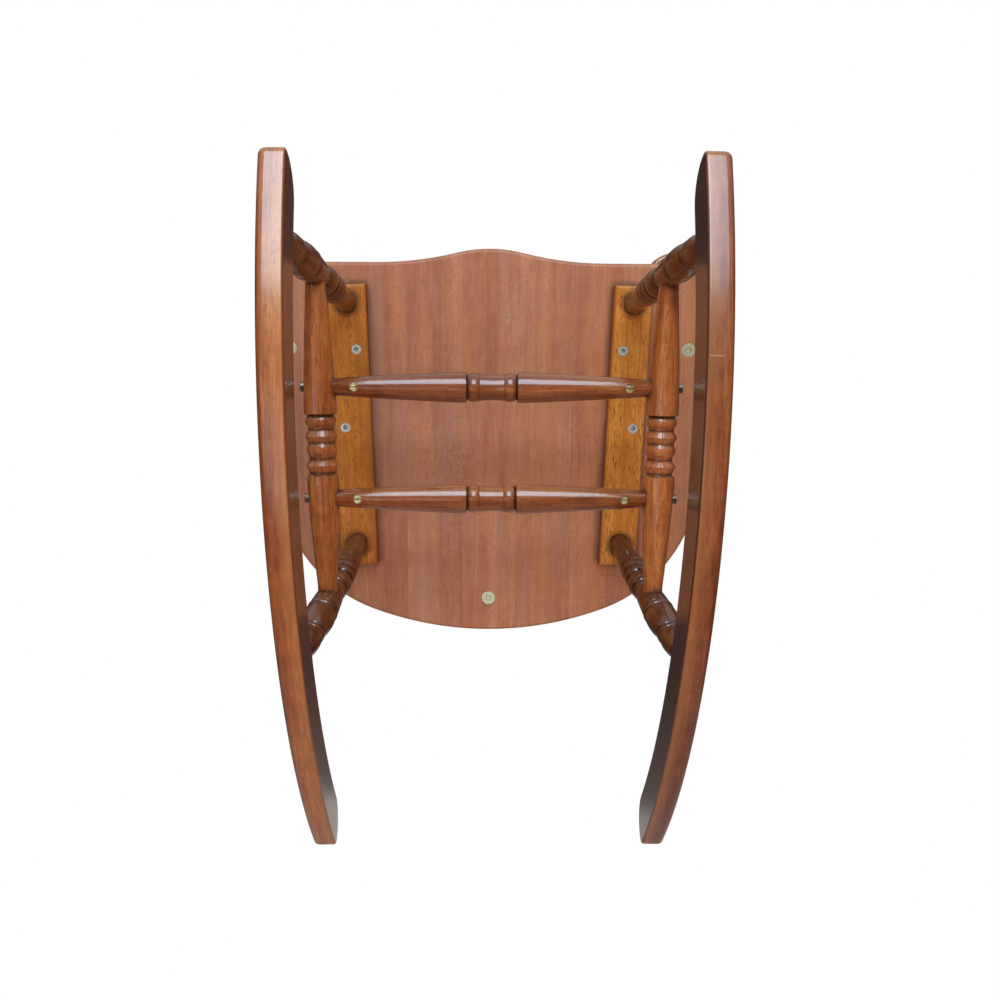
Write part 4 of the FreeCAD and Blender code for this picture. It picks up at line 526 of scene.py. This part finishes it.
def rocker_finish(node, seed):
    """Lacquer on a rocker, with its grain along the arc."""
    finish = Finish(node + "_lacquer", **ROCKER_COAT)
    tones = ROCKER_TONES[node]
    level = finish.mapped(chair_point(0, 0, ROCKER_RADIUS),
                          Matrix((RIGHT, REAR, UP)).transposed())
    x, y, z = finish.split(level)
    radius = finish.length(y, z)
    arc = finish.math("MULTIPLY", finish.math("ARCTAN2", y, finish.math("MULTIPLY", z, -1.0)),
                      ROCKER_RADIUS)
    grain = finish.combine(x, radius, arc)
    colour, pores, fibres = wood(finish, grain, tones, seed, LACQUER_PORE, 0.45,
                                 LACQUER_GROOVE_SHADE, 0.012, alone=True)
    across = finish.split(finish.mapped(*main_axes(node)))[0]
    outward = finish.math("MULTIPLY", across, -1.0 if node.endswith("left") else 1.0)
    # Painted shade towards the outer edge of the rocker's underside
    colour = finish.mix(finish.rise(outward, *ROCKER_OUTER_SHADE), colour, tones[0])
    colour = finish.mix(finish.rise(outward, *ROCKER_INNER), colour, ROCKER_AMBER)
    # Painted shade on the rocker's flanks
    flank_shade = finish.rise(finish.math("ABSOLUTE", across), *ROCKER_FLANK_SHADE_FADE)
    colour = finish.mix(flank_shade, colour, ROCKER_FLANK_SHADES[node])
    if node == "rocker_right":
        slant = finish.math("MULTIPLY_ADD", x, SCARF_SLANT, arc)
        away = finish.math("ABSOLUTE", finish.math("SUBTRACT", slant, SCARF_PLACE))
        joint = finish.math("MULTIPLY", finish.rise(away, *SCARF_LINE),
                            finish.math("MULTIPLY", finish.rise(outward, *SCARF_START),
                                        finish.rise(outward, *SCARF_END)))
        colour = finish.mix(joint, colour, SCARF_GLUE)
    # Edges: wear, and a painted highlight
    colour = finish.worn_and_highlit(colour, BROAD_EDGE, ROCKER_WEAR_AND_HIGHLIGHT, tones[2])
    roughness = finish.math("MULTIPLY_ADD", fibres, LACQUER_FIBRE_ROUGHNESS, ROCKER_ROUGHNESS)
    return finish.complete(colour, roughness, wood_height(finish, pores, fibres), BENT_RELIEF)


BOW_COAT = {"Coat_Weight": 1.0, "Coat_Roughness": 0.18, "Coat_IOR": 1.55, "Specular_IOR_Level": 0.05}
BOW_WEAR_AND_HIGHLIGHT = (0.02, 0.30, 0.0, 0.3)
BOW_ROUGHNESS = 0.38


def bow_finish(node, seed):
    """Lacquer on the bent hoop, with its grain round the bend."""
    finish = Finish(node + "_lacquer", **BOW_COAT)
    low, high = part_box(node)
    reach = (high.x - low.x) / 2
    middle, turn = main_axes(node)
    bend_start = (high - low).dot(turn.col[2].to_3d()) / 2 - reach
    x, y, z = finish.split(finish.mapped(middle, turn))
    above = finish.math("SUBTRACT", z, bend_start)
    over = finish.math("MAXIMUM", above, 0.0)
    radius = finish.length(x, over)
    bend = finish.math("MULTIPLY", finish.math("ARCTAN2", x, over), reach)
    straight = finish.math("MINIMUM", above, 0.0)
    down = finish.math("MULTIPLY", straight, finish.math("SIGN", x))
    grain = finish.combine(radius, y, finish.math("SUBTRACT", bend, down))
    colour, pores, fibres = wood(finish, grain, LACQUER_TONES, seed, LACQUER_PORE, 0.45,
                                 LACQUER_GROOVE_SHADE, 0.008)
    # Edges: wear, and a painted highlight
    colour = finish.worn_and_highlit(colour, BROAD_EDGE, BOW_WEAR_AND_HIGHLIGHT, LACQUER_TONES[2])
    roughness = finish.math("MULTIPLY_ADD", fibres, LACQUER_FIBRE_ROUGHNESS, BOW_ROUGHNESS)
    return finish.complete(colour, roughness, wood_height(finish, pores, fibres), BENT_RELIEF)


# The seat's boards: their width, the shift of the grain from one to the next, the spread of their
# shades over the darkest one, and the seam between them
BOARD_WIDTH = 0.074
BOARD_SHIFT = 0.73
BOARD_SHADES = (0.10, 0.95)
SEAM_HALF_WIDTH = 0.0005
SEAM_SHARE = 0.35

SEAT_TONES = ((0.370, 0.112, 0.052), (0.470, 0.160, 0.074), (0.580, 0.225, 0.108))
SEAT_MAUVE = (0.440, 0.182, 0.120)
SEAT_ORANGE = (0.540, 0.175, 0.055)
SEAT_PALE = (0.560, 0.300, 0.200)
SEAT_PORE = (0.150, 0.045, 0.022)
SEAT_EDGE_WEAR_AND_HIGHLIGHT = (0.680, 0.220, 0.090)
# Dark seam between the boards, also used as painted shade in grooves and joints
SEAT_SEAM_AND_SHADE = (0.160, 0.055, 0.030)
SEAT_COAT = {"Coat_Weight": 0.3, "Coat_Roughness": 0.28, "Coat_IOR": 1.5, "Specular_IOR_Level": 0.2}
SEAT_WEAR_AND_HIGHLIGHT = (0.02, 0.20, 0.0, 0.7)
SEAT_ROUGHNESS = 0.44
STAIN_FIBRE_ROUGHNESS = 0.14
STAIN_RELIEF = 0.00008

# Colour bands along the seat's grain, its pale figure, and the patches where that figure shows
SEAT_BANDS = (26, 26, 4)
MAUVE_FADE = (0.50, 0.68, 0.0, 0.50)
ORANGE_FADE = (0.34, 0.48, 0.45, 0.0)
SEAT_FIGURE = (150, 90, 150)
FIGURE_FADE = (0.50, 0.64, 0.0, 0.32)
FIGURE_PATCHES = (9, 5, 9)
PATCH_FADE = (0.58, 0.74)


def seat_finish(node, seed):
    """Satin stain over a seat glued up from boards, each with a grain and tint of its own."""
    finish = Finish(node + "_stain", **SEAT_COAT)
    level = finish.mapped(chair_point(0, 0, SEAT_UNDERSIDE),
                          Matrix((RIGHT, REAR, UP)).transposed())
    x, y, z = finish.split(level)
    row = finish.math("DIVIDE", finish.math("ADD", x, BOARD_WIDTH / 2), BOARD_WIDTH)
    board = finish.math("FLOOR", row)
    draw = finish.node("ShaderNodeTexWhiteNoise", noise_dimensions="1D")
    finish.tree.links.new(board, draw.inputs["W"])
    shift = finish.math("MULTIPLY", board, BOARD_SHIFT)
    grain = finish.combine(finish.math("ADD", x, shift), z, finish.math("ADD", y, shift))
    # The seam colour also serves here as painted shade in grooves and joints
    colour, pores, fibres = wood(finish, grain, SEAT_TONES, seed, SEAT_PORE, 0.55,
                                 SEAT_SEAM_AND_SHADE, 0.012)
    bands = finish.noise(grain, SEAT_BANDS, 3, 0.6, 0.8, (3, 1, 2))
    colour = finish.mix(finish.rise(bands, *MAUVE_FADE), colour, SEAT_MAUVE)
    colour = finish.mix(finish.rise(bands, *ORANGE_FADE), colour, SEAT_ORANGE)
    figure = finish.noise(level, SEAT_FIGURE, 3, 0.6, 1.8, (5, 2, 4))
    here = finish.rise(finish.noise(level, FIGURE_PATCHES, 1, 0.5, 0.0, (2, 7, 1)), *PATCH_FADE)
    colour = finish.mix(finish.math("MULTIPLY", here, finish.rise(figure, *FIGURE_FADE)),
                        colour, SEAT_PALE)
    shade = finish.math("MULTIPLY_ADD", draw.outputs["Value"], *BOARD_SHADES)
    colour = finish.mix(1.0, colour, finish.combine(shade, shade, shade), "MULTIPLY")
    seam_share = finish.math("ABSOLUTE", finish.math("SUBTRACT", finish.math("FRACT", row), 0.5))
    seam = finish.rise(seam_share, 0.5 - SEAM_HALF_WIDTH / BOARD_WIDTH, 0.5, 0.0, SEAM_SHARE)
    colour = finish.mix(seam, colour, SEAT_SEAM_AND_SHADE)
    # Edges: wear, and a painted highlight
    colour = finish.worn_and_highlit(colour, BROAD_EDGE, SEAT_WEAR_AND_HIGHLIGHT, SEAT_EDGE_WEAR_AND_HIGHLIGHT)
    roughness = finish.math("MULTIPLY_ADD", fibres, STAIN_FIBRE_ROUGHNESS, SEAT_ROUGHNESS)
    return finish.complete(colour, roughness, wood_height(finish, pores, fibres), STAIN_RELIEF)


CLEAT_TONES = ((0.400, 0.108, 0.016), (0.570, 0.172, 0.024), (0.740, 0.265, 0.046))
CLEAT_PORE = (0.110, 0.034, 0.010)
# The groove colour is painted shade
CLEAT_GROOVE_SHADE = (0.060, 0.018, 0.006)
CLEAT_COAT = {"Coat_Weight": 0.3, "Coat_Roughness": 0.25, "Coat_IOR": 1.5, "Specular_IOR_Level": 0.05}
CLEAT_WEAR_AND_HIGHLIGHT = (0.02, 0.30, 0.0, 0.4)
CLEAT_ROUGHNESS = 0.42


def cleat_finish(node, seed):
    """Golden brown satin stain with dark open pores, its grain along the cleat."""
    finish = Finish(node + "_stain", **CLEAT_COAT)
    grain = finish.mapped(*main_axes(node))
    colour, pores, fibres = wood(finish, grain, CLEAT_TONES, seed, CLEAT_PORE, 0.8,
                                 CLEAT_GROOVE_SHADE, 0.010)
    # Edges: wear, and a painted highlight
    colour = finish.worn_and_highlit(colour, BROAD_EDGE, CLEAT_WEAR_AND_HIGHLIGHT, CLEAT_TONES[2])
    roughness = finish.math("MULTIPLY_ADD", fibres, STAIN_FIBRE_ROUGHNESS, CLEAT_ROUGHNESS)
    return finish.complete(colour, roughness, wood_height(finish, pores, fibres), STAIN_RELIEF)


# node: metallic share, bright, dull and painted-shade colours, lowest and highest roughness, and the
# radius of the edges that are worn and painted bright
METALS = {
    "stretcher_bolts": (0.9, (0.20, 0.15, 0.11), (0.10, 0.07, 0.05), (0.02, 0.015, 0.01),
                        0.25, 0.45, 0.0012),
    "cleat_bolts": (0.5, (0.86, 0.85, 0.78), (0.60, 0.58, 0.50), (0.04, 0.03, 0.02),
                    0.20, 0.38, 0.0012),
    "arm_screws": (0.9, (0.36, 0.33, 0.30), (0.16, 0.13, 0.11), (0.02, 0.015, 0.01),
                   0.25, 0.45, 0.0012),
    "barrel_nuts": (0.5, (0.95, 0.74, 0.36), (0.22, 0.14, 0.06), (0.03, 0.02, 0.01),
                    0.20, 0.36, 0.0005),
    "seat_bolts": (0.5, (0.80, 0.76, 0.50), (0.60, 0.55, 0.32), (0.10, 0.08, 0.04),
                   0.24, 0.42, 0.0012),
}
METAL_PATCHES = (240, 240, 240)
METAL_MARKS = (2600, 2600, 2600)
DULL_FADE = (0.4, 0.65)
SHADE_REACH = 0.003
SHADE_FADE = (0.2, 0.9, 0.9, 0.0)
METAL_WEAR_AND_HIGHLIGHT = (0.04, 0.3, 0.0, 0.9)
ROUGH_PATCHES = (0.35, 0.7)
METAL_RELIEF = 0.00001


def metal(node, metallic, bright, dull, painted_shade_colour, roughness_low, roughness_high, rim):
    """Plated metal: fine marks, dull patches, painted shade in the recesses and round the heads, and
    edges worn and painted bright.
    """
    finish = Finish(node + "_plating", Metallic=metallic)
    patches = finish.noise(finish.place, METAL_PATCHES, 3, 0.6)
    marks = finish.noise(finish.place, METAL_MARKS, 1, 0.5)
    colour = finish.mix(finish.rise(patches, *DULL_FADE), bright, dull)
    # Painted shade, near black, in recesses and round the heads where they meet the wood
    painted_shade = finish.rise(finish.shelter(SHADE_REACH, False), *SHADE_FADE)
    colour = finish.mix(painted_shade, colour, painted_shade_colour)
    # Edges: wear, and a painted highlight
    colour = finish.worn_and_highlit(colour, rim, METAL_WEAR_AND_HIGHLIGHT, bright)
    roughness = finish.rise(patches, *ROUGH_PATCHES, roughness_low, roughness_high)
    return finish.complete(colour, roughness, marks, METAL_RELIEF)


def dress(node, material):
    """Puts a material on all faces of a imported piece."""
    for slot in nodes[node].material_slots:
        slot.material = material


# Every other wooden piece is a lacquered stick.
WOOD_FINISHES = {
    "seat": seat_finish,
    "cleat_left": cleat_finish,
    "cleat_right": cleat_finish,
    "rocker_left": rocker_finish,
    "rocker_right": rocker_finish,
    "bow": bow_finish,
}


def dress_all():
    """Dresses every piece. A wooden piece's number among the sorted names shifts its grain."""
    for seed, node in enumerate(sorted(nodes), 1):
        if node in METALS:
            dress(node, metal(node, *METALS[node]))
        else:
            dress(node, WOOD_FINISHES.get(node, lacquered)(node, seed))


add_camera()
add_world()
add_floor()
for name, lamp in LAMPS.items():
    add_lamp(name, *lamp)
dress_all()
bpy.context.scene.view_settings.view_transform = "Standard"
